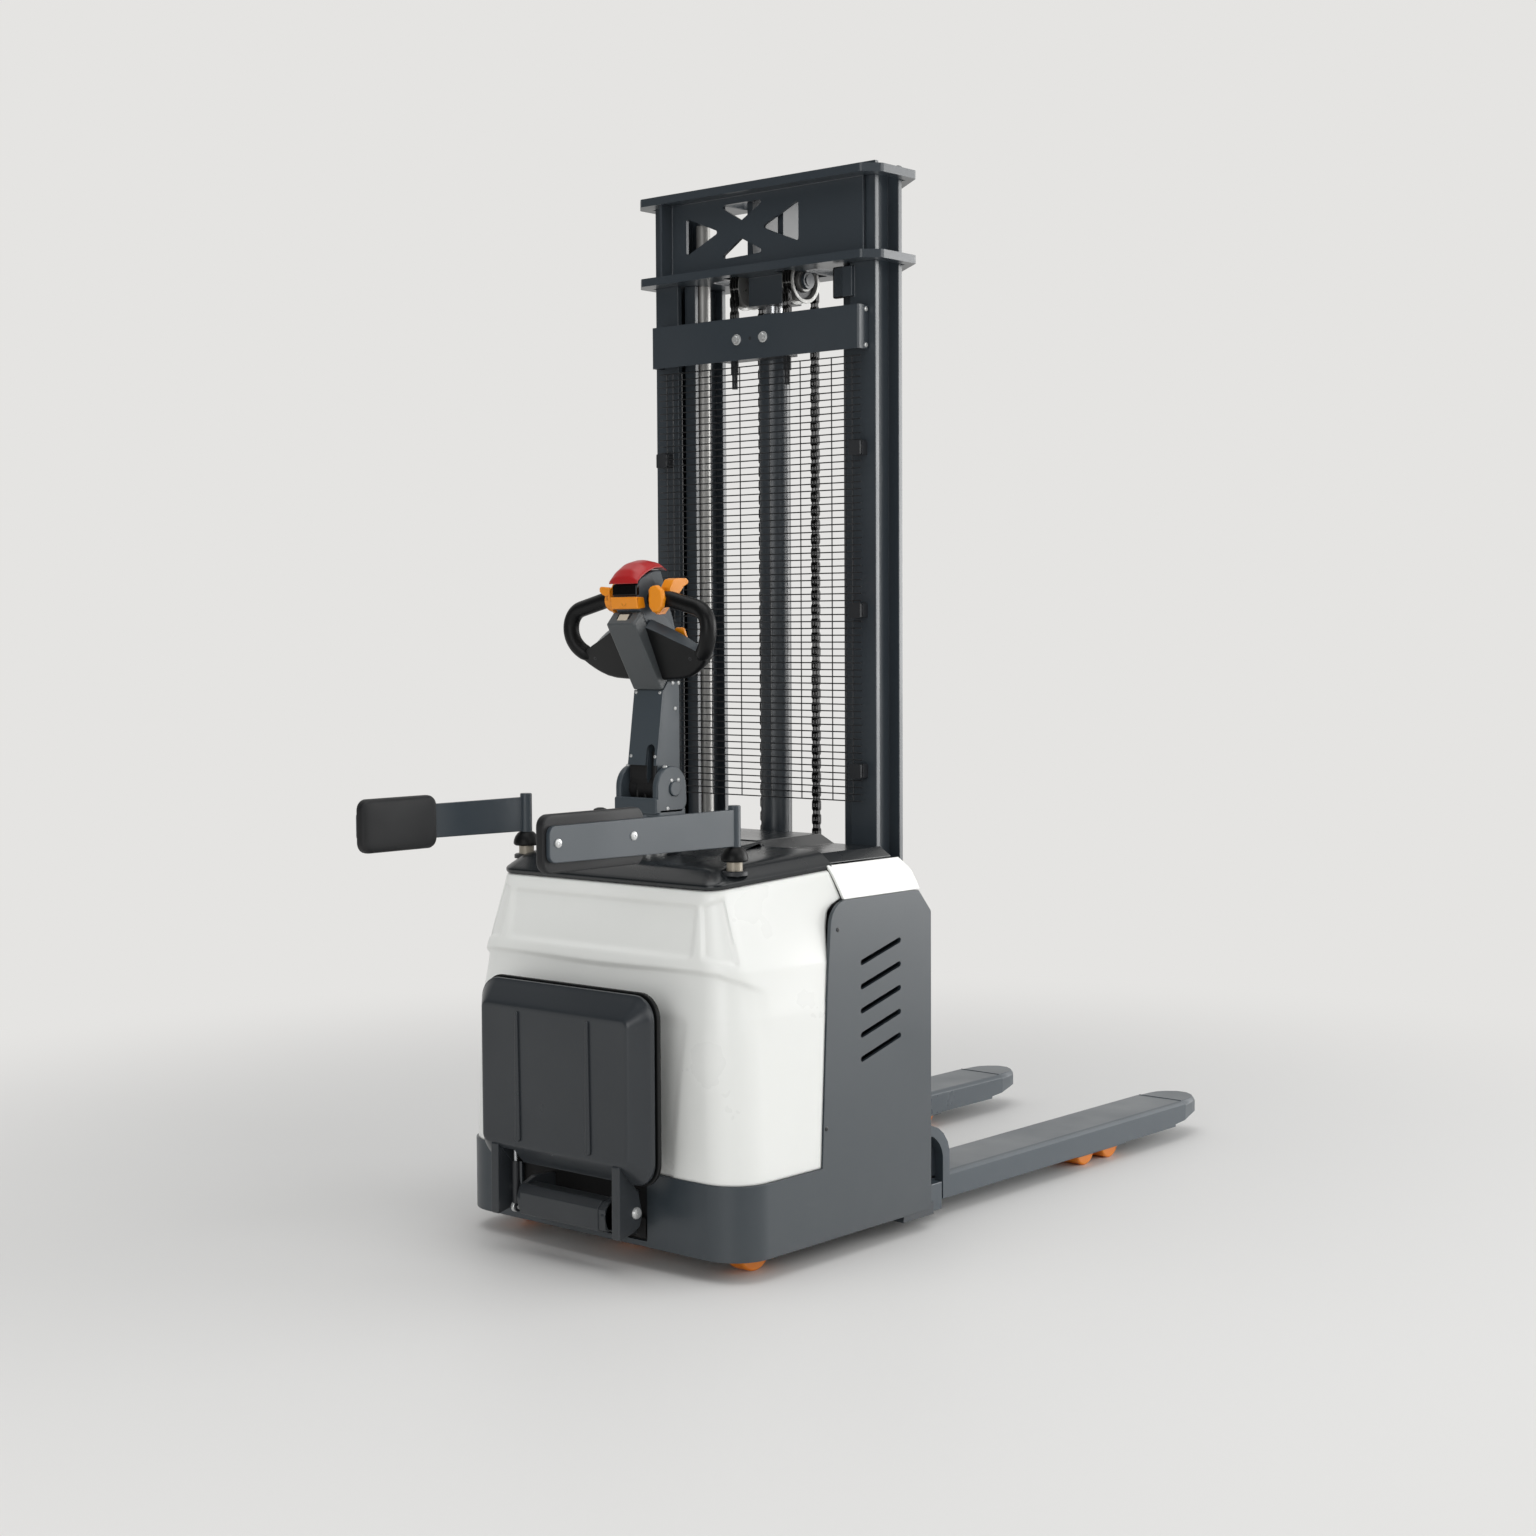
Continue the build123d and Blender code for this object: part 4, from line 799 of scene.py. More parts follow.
@dataclass
class RearCover:
    """The moulded white rear cover, with its panels, its crease and the dish behind the pedal."""

    # Height, then front, knee and rear half widths, rear face and corner radius.
    rows: tuple[Values, ...] = (
        (202, 411, 411, 409, 3, 88), (535, 411, 408, 388, 9, 88), (632, 410, 402, 370, 14, 84),
        (840, 407, 348, 296, 50, 44))
    # Height and Y of the seam with the side panel.
    seam: Outline = ((202, 261), (553, 277), (700, 293), (735, 302), (748, 316), (755, 332),
                     (757, 341), (832, 309))
    low: float = 202
    deck: float = 791.1
    deck_from: float = 24
    first_rise: float = 6
    slope: float = math.tan(math.radians(5.4))
    wall: float = 4.5
    around: int = 200
    rows_up: int = 130
    # Shares of the way from the rear middle to the seam at which the corner starts and ends.
    corner_start: float = 0.42
    corner_end: float = 0.66
    knee_y: float = 200
    front_y: float = 380
    latest_corner_y: float = 190
    latest_corner_draw: float = 3
    # Share and height of the crease, its depth, the round above it and its fall below.
    crease: Outline = ((0, 627), (0.40, 633), (0.50, 630), (0.60, 614), (0.70, 592))
    crease_depth: float = 7
    crease_round: float = 9
    crease_fall: Point2 = (12, 150)
    crease_fade: Point2 = (0.60, 0.72)
    # Half width, foot, top and corner radius of the rear panel.
    panel: Quad = (274, 652, 764, 14)
    panel_depth: float = 6
    panel_round: float = 9
    # Share and height of the corner panel's corners, and the length of a whole share.
    corner_panel: Outline = ((0.425, 655), (0.60, 642), (0.60, 780), (0.425, 764))
    corner_scale: float = 520
    corner_round: float = 8
    # Half widths of the dish at its foot and top, its height, and where its sides spread.
    dish: Point3 = (236, 268, 545)
    dish_spread: Point2 = (260, 257)
    dish_depth: float = 4
    dish_round: Point2 = (16, 40)
    lip_height: float = 9
    lip_depth: float = 5
    step: float = 0.004

    @staticmethod
    def along(table: Sequence[Point2], value: float) -> float:
        """Reads a table of pairs, straight between its rows.

        Args:
            table: Pairs in rising order of their first values.
            value: The first value to look up.

        Returns:
            The second value there.
        """
        for (first, start), (second, end) in zip(table, table[1:]):
            if value <= second:
                return start + (end - start) * max(0.0, (value - first) / (second - first))
        return table[-1][1]

    def section(self, height: float) -> list[float]:
        """Returns front, knee and rear half widths, rear face and corner radius at a height."""
        return [self.along([(row[0], row[column]) for row in self.rows], height)
                for column in range(1, 6)]

    def spot(self, share: float, height: float) -> Point2:
        """Finds a plan point of the right half.

        Args:
            share: The share of the way from the rear middle to the seam.
            height: The height.

        Returns:
            The point's X and Y.
        """
        front, knee, end, rear, radius = self.section(height)
        side = Vector((knee - end, self.knee_y - rear)).normalized()
        back = Vector((-1.0, 0.0))
        half = side.angle(back) / 2
        reach = radius / math.tan(half)
        middle = Vector((end, rear)) + (side + back).normalized() * (radius / math.sin(half))
        if share <= self.corner_start:
            return (end - reach) * share / self.corner_start, rear
        start = Vector((end - reach, rear)) - middle
        last = Vector((end, rear)) + side * reach
        if share <= self.corner_end:
            sweep = start.angle_signed(last - middle)
            part = (share - self.corner_start) / (self.corner_end - self.corner_start)
            turned = Matrix.Rotation(-sweep * part, 2) @ start
            return middle.x + turned.x, middle.y + turned.y
        part = (share - self.corner_end) / (1 - self.corner_end)
        y = last.y + (self.along(self.seam, height) - last.y) * part
        a, b, c = (last.y, last.x), (self.knee_y, knee), (self.front_y, front)
        if a[0] > self.latest_corner_y:
            a = (self.latest_corner_y, knee - self.latest_corner_draw)
        x = sum(p[1] * (y - q[0]) * (y - r[0]) / ((p[0] - q[0]) * (p[0] - r[0]))
                for p, q, r in ((a, b, c), (b, a, c), (c, a, b)))
        return x, y

    def dent(self, share: float, x: float, height: float) -> float:
        """Finds how far the skin is pressed in at a point.

        Args:
            share: The point's share of the way from the rear middle to the seam.
            x: The point's X.
            height: The point's height.

        Returns:
            The depth.
        """
        half, low, high, corner = self.panel
        beside = max(0.0, abs(x) - half + corner)
        above = max(0.0, abs(height - (low + high) / 2) - (high - low) / 2 + corner)
        depth = 0.0
        if share < self.corner_start:
            inside = corner - Vector((beside, above)).length
            depth = self.panel_depth * smoothstep(inside, 0.0, self.panel_round)
        inside = math.inf
        for (a0, z0), (a1, z1) in zip(self.corner_panel,
                                      self.corner_panel[1:] + self.corner_panel[:1]):
            run = Vector(((a1 - a0) * self.corner_scale, z1 - z0)).normalized()
            inside = min(inside, run.x * (height - z0) - run.y * (share - a0) * self.corner_scale)
        depth = max(depth, self.panel_depth * smoothstep(inside, 0.0, self.corner_round))
        below = self.along(self.crease, share) - height
        fade = 1 - smoothstep(share, *self.crease_fade)
        fall = 1 - smoothstep(below, *self.crease_fall)
        depth += self.crease_depth * smoothstep(below, 0.0, self.crease_round) * fall * fade
        narrow, wide, top = self.dish
        start, height_of_spread = self.dish_spread
        edge = narrow + (wide - narrow) * min(1.0, max(0.0, (height - start) / height_of_spread))
        beside, above = self.dish_round
        return depth + (self.dish_depth * smoothstep(edge - abs(x), 0.0, beside)
                        * smoothstep(top - height, 0.0, above))

    def build(self) -> None:
        """Presses a grid into the cover's form and gives it a wall."""
        shape = Shape()
        bmesh.ops.create_grid(shape.bm, x_segments=self.around, y_segments=self.rows_up, size=1.0)
        for vert in shape.bm.verts:
            share, rise = abs(vert.co.x), (vert.co.y + 1) / 2
            side = 1.0 if vert.co.x >= 0 else -1.0
            height = self.low + rise * (self.deck + self.first_rise - self.low)
            for _ in range(3):
                x, y = self.spot(share, height)
                deck = self.deck + self.slope * (y - self.deck_from)
                height = self.low + rise * (deck - self.low)
            x, y = self.spot(share, height)
            ahead = self.spot(min(1.0, share + self.step), height)
            behind = self.spot(max(0.0, share - self.step), height)
            out = Vector((ahead[1] - behind[1], behind[0] - ahead[0])).normalized()
            top = self.deck + self.slope * (y - self.deck_from) - height
            roll = max(0.0, self.lip_height - top) / self.lip_height
            lip = self.lip_depth * (1 - math.sqrt(max(0.0, 1 - roll ** 2)))
            depth = self.dent(share, x, height) + lip
            vert.co = Vector((side * (x - out.x * depth), y - out.y * depth, height))
        bmesh.ops.recalc_face_normals(shape.bm, faces=shape.bm.faces)
        rearmost = max(shape.bm.faces, key=lambda face: -face.calc_center_median().y)
        shape.turn_out(rearmost, 1, -1)
        shape.piece("rear_cover_skin", "chassis", [COVER_WHITE], "white_cover", ["rear_cover"],
                    smooth=50.0, weighted=False, wall=self.wall)


@dataclass
class TopDeck:
    """The glossy deck with its hump, the boots of the arm posts and their bushes."""

    front_half: float = 388
    rear_half: float = 313
    front: float = 306
    front_corner: float = 1
    origin: Point2 = (24, 791.5)
    slope: float = math.radians(5.4)
    # Draw of the sides, rear end, rise above the deck plane and corner radius.
    rings: tuple[Quad, ...] = (
        (6, 22, 0, 42), (1, 17, 0.6, 44), (0, 16, 3, 44), (0, 16, 8, 44), (1.5, 17.5, 11, 44),
        (6, 24, 15.5, 42), (13, 34, 22, 40), (20, 44, 28, 38), (26, 52, 32.5, 36),
        (33, 60, 35.5, 34), (44, 74, 37.5, 30), (70, 100, 38.5, 26))
    hump: Outline = ((150, 815), (331, 820), (331, 867), (262, 861), (214, 851), (172, 843),
                     (152, 832))
    hump_radii: Values = (0, 0, 1, 30, 30, 14, 8)
    hump_half: float = 198
    hump_edge: float = 16
    flank: Outline = ((196, 815), (331, 820), (331, 850), (240, 841), (200, 830))
    flank_radii: Values = (0, 0, 0, 20, 10)
    flank_half: float = 238
    flank_edge: float = 14
    post: Point2 = (308, 112)
    # Rubber boot, bush and flange of an arm post, as radius and height.
    socket: tuple[Outline, ...] = (
        ((13.2, 849), (24.5, 848), (28, 850.5), (28.5, 854), (27.4, 861), (24.2, 868.5),
         (19.5, 874.5), (15.5, 877.8), (13.2, 878.4)),
        ((13.1, 822), (16.5, 822), (16.5, 848.5), (13.1, 848.5)),
        ((16.6, 820), (27, 820), (27, 827.5), (24, 829.5), (16.6, 829)))
    socket_steps: tuple[int, ...] = (40, 32, 36)

    def place(self, x: float, run: float, rise: float) -> Vector:
        """Returns a point above the sloping deck plane."""
        return Vector((x,
                       self.origin[0] + run * math.cos(self.slope) - rise * math.sin(self.slope),
                       self.origin[1] + run * math.sin(self.slope) + rise * math.cos(self.slope)))

    def build(self) -> None:
        """Builds the deck, the boots and the bushes."""
        shape = Shape()
        rings = []
        for draw, rear, rise, corner in self.rings:
            wide, narrow = self.front_half - draw, self.rear_half - draw
            outline = rounded(
                [(-wide, self.front), (-narrow, rear), (narrow, rear), (wide, self.front)],
                (self.front_corner, corner, corner, self.front_corner), 10)
            rings.append([self.place(x, run, rise) for x, run in outline])
        shape.loft(rings)
        shape.slab(Along.X, rounded(self.hump, self.hump_radii, 4), -self.hump_half,
                   self.hump_half, self.hump_edge, 5)
        shape.slab(Along.X, rounded(self.flank, self.flank_radii, 4), -self.flank_half,
                   self.flank_half, self.flank_edge, 4)
        shape.piece("top_deck_skin", "chassis", [DECK_GLOSS], "black_deck", ["top_deck"],
                    smooth=40.0)
        boots = Shape()
        x, y = self.post
        for side in SIDES:
            for paint, (profile, steps) in enumerate(zip(self.socket, self.socket_steps)):
                boots.paint = paint
                boots.lathe((side * x, y, 0), UPRIGHT, profile, steps)
        boots.piece("arm_sockets_skin", "chassis", [GRIP_RUBBER, BUSH_TAN, BLACK_STEEL],
                    "black_rubber", ["arm_sockets"])


@dataclass
class BatteryLid:
    """The glossy battery lid behind the mast, with its hinge knuckles."""

    crest: Outline = (
        (-375, 831), (-345, 850), (-216, 850), (-178, 869), (178, 869), (216, 850), (345, 850),
        (375, 831), (371, 827), (343, 845), (214, 845), (176, 864), (-176, 864), (-214, 845),
        (-343, 845), (-371, 827))
    radii: Values = (2, 7, 14, 14, 14, 14, 7, 2, 0, 4, 10, 10, 10, 10, 4)
    rear: float = 331
    front: float = 547.5
    edge: float = 1.6
    knuckle: Point2 = (232, 288)
    hinge: Point2 = (545, 846)
    hinge_radius: float = 3.2

    def build(self) -> None:
        """Builds the lid with rounded folds."""
        shape = Shape()
        shape.slab(Along.Y, rounded(self.crest, self.radii, 4), self.rear, self.front, self.edge)
        for side in SIDES:
            low, high = span(side, *self.knuckle)
            shape.rod((low, *self.hinge), (high, *self.hinge), self.hinge_radius, 16)
        shape.piece("battery_lid_skin", "battery_lid", [DECK_GLOSS], "black_deck", ["battery_lid"])


@dataclass
class Pedal:
    """The folded pedal: pressed tray, ribs, hinge brackets and the standing platform."""

    half: float = 252
    low: float = 196
    high: float = 585
    # Half width, foot and top of the raised face.
    face: Point3 = (214, 240, 538)
    rear: float = -69
    # Draw of the edge, share of the way to the face, and depth behind the rear plane.
    levels: tuple[Point3, ...] = (
        (3, 0, 0), (0.6, 0, 1), (0, 0, 3), (0, 0, 6), (0.9, 0, 8.5), (3, 0.04, 10.5),
        (0, 0.22, 15.5), (0, 0.45, 24), (0, 0.68, 32.5), (0, 0.80, 36.8), (0, 0.885, 39.8),
        (0, 0.95, 41.8), (0, 1, 43), (0, 1.08, 43.8), (0, 1.25, 44))
    corner: float = 50
    corner_loss: float = 34
    least_corner: float = 10
    # Places of the ribs, their half widths and heights at top and foot, and their depths.
    ribs: Point2 = (-104, 104)
    rib_top: Point2 = (3.6, 526)
    rib_foot: Point2 = (7.5, 250)
    rib_depths: Point2 = (49.5, 40)
    rib_radii: Values = (3.5, 7.4, 7.4, 3.5)
    horn: Outline = ((-114, 85), (-113, 236), (-103, 247), (-74, 214), (-67, 190), (-56, 178),
                     (-44, 131), (-52, 104), (-76, 93))
    horn_radii: Values = (4, 6, 5, 6, 6, 8, 18, 14, 8)
    horn_x: Point2 = (168, 190)
    # The room for the gas spring.
    pocket: tuple[Point3, Point3] = ((-166, -103, 150), (-128, -60, 300))
    # Overhang beyond the tray, corner radius, depths in front of the tray's rear plane and edge.
    platform: tuple[Values, ...] = ((4, 52, 4, 14, 3), (-16, 36, 13, 17, 1.2))

    def build(self) -> None:
        """Builds the tray and the platform."""
        tray = Shape()
        half, low, high = self.face
        rings = []
        for draw, share, depth in self.levels:
            width = self.half + (half - self.half) * share - draw
            bottom = self.low + (low - self.low) * share + draw
            top = self.high + (high - self.high) * share - draw
            corner = max(self.least_corner, self.corner - self.corner_loss * min(share, 1.0) - draw)
            outline = rounded(rectangle(-width, width, bottom, top), corner, 10)
            rings.append([Vector((x, self.rear - depth, z)) for x, z in outline])
        tray.loft(rings)
        (narrow, top), (wide, foot) = self.rib_top, self.rib_foot
        back, front = self.rib_depths
        for x in self.ribs:
            bar = [(x - narrow, top), (x - wide, foot), (x + wide, foot), (x + narrow, top)]
            tray.slab(Along.Y, rounded(bar, self.rib_radii, 5), self.rear - back,
                      self.rear - front, 3.4, 4)
        for side in SIDES:
            tray.slab(Along.X, rounded(self.horn, self.horn_radii, 4),
                      *span(side, *self.horn_x), 3.0)
        pocket = Shape()
        pocket.block(*self.pocket)
        tray.carve(pocket)
        tray.piece("pedal_tray_skin", "pedal", [SLATE_DARK], "anthracite", ["pedal_tray"])
        base = Shape()
        for over, corner, start, end, edge in self.platform:
            outline = rectangle(-self.half - over, self.half + over, self.low - over,
                                self.high + over)
            base.slab(Along.Y, rounded(outline, corner, 10), self.rear + start,
                      self.rear + end, edge)
        base.piece("pedal_platform_skin", "pedal", [BLACK_GRAIN], "black_rubber",
                   ["pedal_platform"])


@dataclass
class PedalHinge:
    """The hinge of the pedal on the skirt, with its faceted tube, lugs, pins and screws."""

    axis: Point2 = (-64, 135)
    # Left, right, foot and top of two sheets of painted shade: a plate behind the hinge and a sheet
    # in the slot of the skirt.
    painted_shade_plate: Quad = (-235, 185, 50, 174)
    painted_shade_plate_y: Point2 = (8, 16)
    slot: Quad = (127, 156, 64, 107)
    slot_painted_shade_y: Point2 = (-0.7, 0.6)
    lug: Outline = ((9, 68), (9, 162), (-50, 165), (-86, 150), (-97, 122), (-88, 94), (-60, 84))
    lug_radii: Values = (0, 6, 14, 16, 16, 14, 8)
    lug_x: Point2 = (118, 131)
    facets: Outline = ((-97, 92), (-97, 138), (-82, 153), (-50, 153), (-35, 138), (-35, 104),
                       (-48, 90), (-86, 88))
    tube_x: Point2 = (-120, 112)
    stub_x: Point2 = (108, 131)
    stub_draw: float = 2.5
    pin_x: Point2 = (118, 192)
    pin_radius: float = 8
    pin_head_x: float = 190.2
    pin_head: Outline = ((0, 6.5), (6.5, 6.3), (10.5, 5), (12.5, 1.5), (12.5, 0), (0, 0))
    # The foot of the gas spring.
    stud: Point2 = (-82, 100)
    stud_x: Point2 = (-155, -125)
    stud_head_x: float = -152.5
    stud_head: Outline = ((0, 13), (6, 12.4), (10, 9.5), (11.8, 6), (11.8, 3), (10, 0), (0, 0))

    def build(self) -> None:
        """Builds the hinge."""
        shape = Shape()
        # Painted shade: a near-black plate behind the hinge and a thin near-black sheet in the
        # skirt's slot.
        shape.paint = 2
        shape.slab(Along.Y, rounded(rectangle(*self.painted_shade_plate), 4, 3), *self.painted_shade_plate_y, 1.0)
        shape.slab(Along.Y, rounded(rectangle(*self.slot), 3, 3), *self.slot_painted_shade_y, 0.3)
        shape.paint = 0
        for side in SIDES:
            shape.slab(Along.X, rounded(self.lug, self.lug_radii, 4), *span(side, *self.lug_x), 2.0)
        shape.slab(Along.X, rounded(self.facets, 5, 4), *self.tube_x, 2.6, 3)
        shape.slab(Along.X, rounded(inset(self.facets, self.stub_draw), 5, 4), *self.stub_x, 2.6, 3)
        shape.paint = 1
        for side in SIDES:
            low, high = span(side, *self.pin_x)
            shape.rod((low, *self.axis), (high, *self.axis), self.pin_radius, 24)
            shape.lathe((side * self.pin_head_x, *self.axis), (side, 0, 0), self.pin_head, 24)
        low, high = self.stud_x
        shape.rod((low, *self.stud), (high, *self.stud), 5, 20)
        shape.lathe((self.stud_head_x, *self.stud), (1, 0, 0), self.stud_head, 24)
        shape.piece("pedal_hinge_skin", "chassis", [SLATE_DARK, ZINC, PAINTED_SHADE], "black_steel",
                    ["pedal_hinge"])


@dataclass
class GuardArm:
    """One guard arm with its post, screws and soft pad."""

    side: int
    name: str
    pad_rear: float
    pad_front: float
    # Distances of the two screws from the blade's rear end.
    screws: Point2
    x: float = 308
    post_y: float = 112
    post: Outline = ((0, 800), (13, 800), (13, 961), (11.8, 963), (0, 963))
    low: float = 879
    high: float = 955
    blade_draw: float = 10
    blade_lift: float = 6
    blade_front: float = 8
    blade_x: Point2 = (-2, 8)
    blade_radii: Values = (16, 16, 3, 3)
    screw_z: float = 922
    pad_z: Point2 = (863, 977)
    pad_margin: float = 1
    pad_gap: float = 2.2
    pad_corner: float = 24
    pad_corner_loss: float = 0.42
    least_corner: float = 3
    # How far the pad's ends and its long sides pull in at their middles.
    pull: Point2 = (1.7, 1.8)
    # Draw of the outline and distance from the plate.
    pad_levels: Outline = (
        (4, 0), (1.2, 0.8), (0.3, 2.6), (0, 6), (0, 13), (0.4, 16.5), (1.8, 19.8),
        (4.2, 22.4), (7.8, 24.2), (13, 25.2), (22, 25.9), (34, 26.4), (46, 26.7))
    fill: float = 0.75

    def build(self) -> None:
        """Builds the plate, the post and the screws, then the pad."""
        shape = Shape()
        rear = self.pad_rear + self.blade_draw
        front = self.post_y + self.blade_front
        blade = [(rear, self.low + self.blade_lift), (rear, self.high), (front, self.high),
                 (front, self.low)]
        inner, outer = (self.x + reach for reach in self.blade_x)
        shape.slab(Along.X, rounded(blade, self.blade_radii, 6),
                   *span(self.side, inner, outer), 1.6)
        shape.lathe((self.side * self.x, self.post_y, 0), UPRIGHT, self.post, 36)
        shape.paint = 1
        for ahead in self.screws:
            shape.lathe((self.side * outer, rear + ahead, self.screw_z), (self.side, 0, 0),
                        SCREW_HEAD, 24)
        shape.piece(f"arm_{self.name}_skin", f"arm_{self.name}", [ARM_PAINT, ZINC], "black_steel",
                    [f"arm_{self.name}"])
        self.pad()

    def ring(self, draw: float) -> list[Point2]:
        """Draws the pad's outline, with sides that pull in between the corners.

        Args:
            draw: How far the outline is drawn in.

        Returns:
            The outline in Y and Z.
        """
        rear = self.pad_rear + self.pad_margin + draw
        front = self.pad_front - self.pad_margin - draw
        low, high = self.pad_z[0] + draw, self.pad_z[1] - draw
        centre = Vector(((rear + front) / 2, (low + high) / 2))
        half = Vector(((front - rear) / 2, (high - low) / 2))
        corner = max(self.least_corner, self.pad_corner - self.pad_corner_loss * draw)
        points = []
        for y, z in rounded(rectangle(rear, front, low, high), corner, 8):
            along, up = (y - centre.x) / half.x, (z - centre.y) / half.y
            points.append((y - self.pull[0] * along * (1 - up * up),
                           z - self.pull[1] * up * (1 - along * along)))
        return points

    def pad(self) -> None:
        """Builds the moulded pad, flat against the plate and crowned inwards."""
        shape = Shape()
        rings = []
        for draw, depth in self.pad_levels:
            x = self.side * (self.x - self.pad_gap - depth)
            rings.append([Vector((x, y, z)) for y, z in self.ring(draw)])
        shape.loft(rings)
        bmesh.ops.recalc_face_normals(shape.bm, faces=shape.bm.faces)
        made = shape.piece(f"arm_pad_{self.name}_skin", f"arm_{self.name}", [PAD_RUBBER],
                           "black_rubber", [f"arm_pad_{self.name}"], smooth=60.0, weighted=False)


@dataclass
class WireGuard:
    """The wire guard between the mast rails."""

    left: float = -297
    right: float = 300
    low: float = 946
    high: float = 1914
    pitch: float = 15.1
    y: float = 540.5
    upright_y: float = 542.1
    radius: float = 1.35
    sides: int = 6
    uprights: Values = (-275, -256, -228, -139, -50, 39, 128, 217, 256, 275)

    def build(self) -> None:
        """Builds all the wires."""
        shape = Shape()
        rows = int((self.high - self.low) / self.pitch)
        for row in range(rows + 1):
            z = self.low + row * self.pitch
            shape.rod((self.left, self.y, z), (self.right, self.y, z), self.radius, self.sides)
        for x in self.uprights:
            shape.rod((x, self.upright_y, self.low), (x, self.upright_y, self.high), self.radius,
                      self.sides)
        shape.piece("mesh_guard_wires", "chassis", [WIRE_BLACK], "black_steel", ["mesh_guard"],
                    weighted=False)


@dataclass
class LeafChains:
    """The two lift chains, as leaf links over their pulleys."""

    x: float = 78
    rear_y: float = 557.5
    front_y: float = 653.5
    pulley: Point2 = (605.5, 2098)
    radius: float = 48
    anchor: float = 1990
    anchor_end: float = 1998
    carriage: float = 500
    pitch: float = 15.9
    wrap_links: int = 11
    # A link plate's end: its reach past the pin, its half height, and the angles of its corners.
    plate_end: float = 5.2
    plate_half: float = 5.6
    plate_turns: Values = (-1.57, -0.7, 0.7, 1.57)
    outer_plates: Outline = ((-9.2, -6.8), (-1.2, 1.2), (6.8, 9.2))
    inner_plates: Outline = ((-6.4, -4), (4, 6.4))
    pin_half: float = 10.6
    pin_radius: float = 2.6

    def link(self, shape: Shape, centre: Vector, ahead: Vector, wide: bool) -> None:
        """Adds one pitch of the chain.

        Args:
            shape: The mesh to add to.
            centre: Middle of the link.
            ahead: Direction of the run.
            wide: Whether this is a pitch of outer plates.
        """
        across = Vector((1.0, 0.0, 0.0))
        normal = across.cross(ahead)
        half = self.pitch / 2
        outline = [(half + self.plate_end * math.cos(turn), self.plate_half * math.sin(turn))
                   for turn in self.plate_turns]
        outline += [(-a, b) for a, b in reversed(outline)]

        def place(point: Point2, depth: float) -> Vector:
            """Puts a point of the plate at a depth across the chain."""
            return centre + ahead * point[0] + normal * point[1] + across * depth

        for low, high in self.outer_plates if wide else self.inner_plates:
            shape.slab(place, outline, low, high)
        pin = centre + ahead * half
        shape.rod(tuple(pin - across * self.pin_half), tuple(pin + across * self.pin_half),
                  self.pin_radius, 8)

    def run(self, name: str, places: Sequence[tuple[Vector, Vector]]) -> bpy.types.Object:
        """Builds links on both sides.

        Args:
            name: The object's name.
            places: Middle and direction of each link.

        Returns:
            The links as one object.
        """
        shape = Shape()
        for side in SIDES:
            for index, (centre, ahead) in enumerate(places):
                self.link(shape, Vector((side * self.x, centre.y, centre.z)), ahead, index % 2 == 0)
        return shape.loose(name, [CHAIN_STEEL])

    def upright(self, name: str, y: float, low: float) -> bpy.types.Object:
        """Returns the links of an upright run at a Y, from a height up to the pulleys."""
        count = int((self.pulley[1] - low) / self.pitch)
        return self.run(name, [(Vector((0, y, low + self.pitch * (k + 0.5))), Vector(UPRIGHT))
                               for k in range(count)])

    def build(self) -> None:
        """Builds the rear run, the front run and the wrap."""
        y, z = self.pulley
        rear = self.upright("chain_rear_links", self.rear_y, self.anchor)
        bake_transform(rear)
        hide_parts("chain_rear")
        front = self.upright("chain_front_links", self.front_y, self.carriage)
        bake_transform(front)
        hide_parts("chain_front")
        turns = [math.pi * (k + 0.5) / self.wrap_links for k in range(self.wrap_links)]
        wrap = self.run("chain_wrap_links", [
            (Vector((0, y - self.radius * math.cos(t), z + self.radius * math.sin(t))),
             Vector((0, math.sin(t), math.cos(t)))) for t in turns])
        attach(wrap, "inner_mast")
        for links in (rear, front, wrap):
            LOG.info("%s", links.name)


@dataclass
class Pulley:
    """One chain pulley with its bearing."""

    side: int
    name: str
    x: float = 78
    centre: Point2 = (605.5, 2098)
    sheave: Outline = (
        (13, -14.3), (48.5, -14.3), (49.8, -13.4), (49.8, -12.2), (42.4, -11.4), (42.4, 11.4),
        (49.8, 12.2), (49.8, 13.4), (48.5, 14.3), (41.5, 14.3), (39.5, 12.6), (37.6, 5.4),
        (25.5, 5.4), (24.2, 13.4), (23, 14.3), (13, 14.3))
    dished: Point2 = (26, 37)

    def build(self) -> None:
        """Builds the sheave with its dished outer face, and the hub ring."""
        shape = Shape()
        shape.lathe((self.side * self.x, *self.centre), (self.side, 0, 0), self.sheave, 56)
        low, high = self.dished
        shape.repaint(1, lambda face: face.normal.x * self.side > FACING
                      and low < self.reach(face) < high)
        shape.piece(f"pulley_{self.name}_skin", f"pulley_{self.name}", [PULLEY_STEEL, BLACK_STEEL],
                    "bright_steel", [f"pulley_{self.name}"])

    def reach(self, face: Face) -> float:
        """Returns a face's distance from the axle."""
        spot = face.calc_center_median()
        return math.hypot(spot.y - self.centre[0], spot.z - self.centre[1])


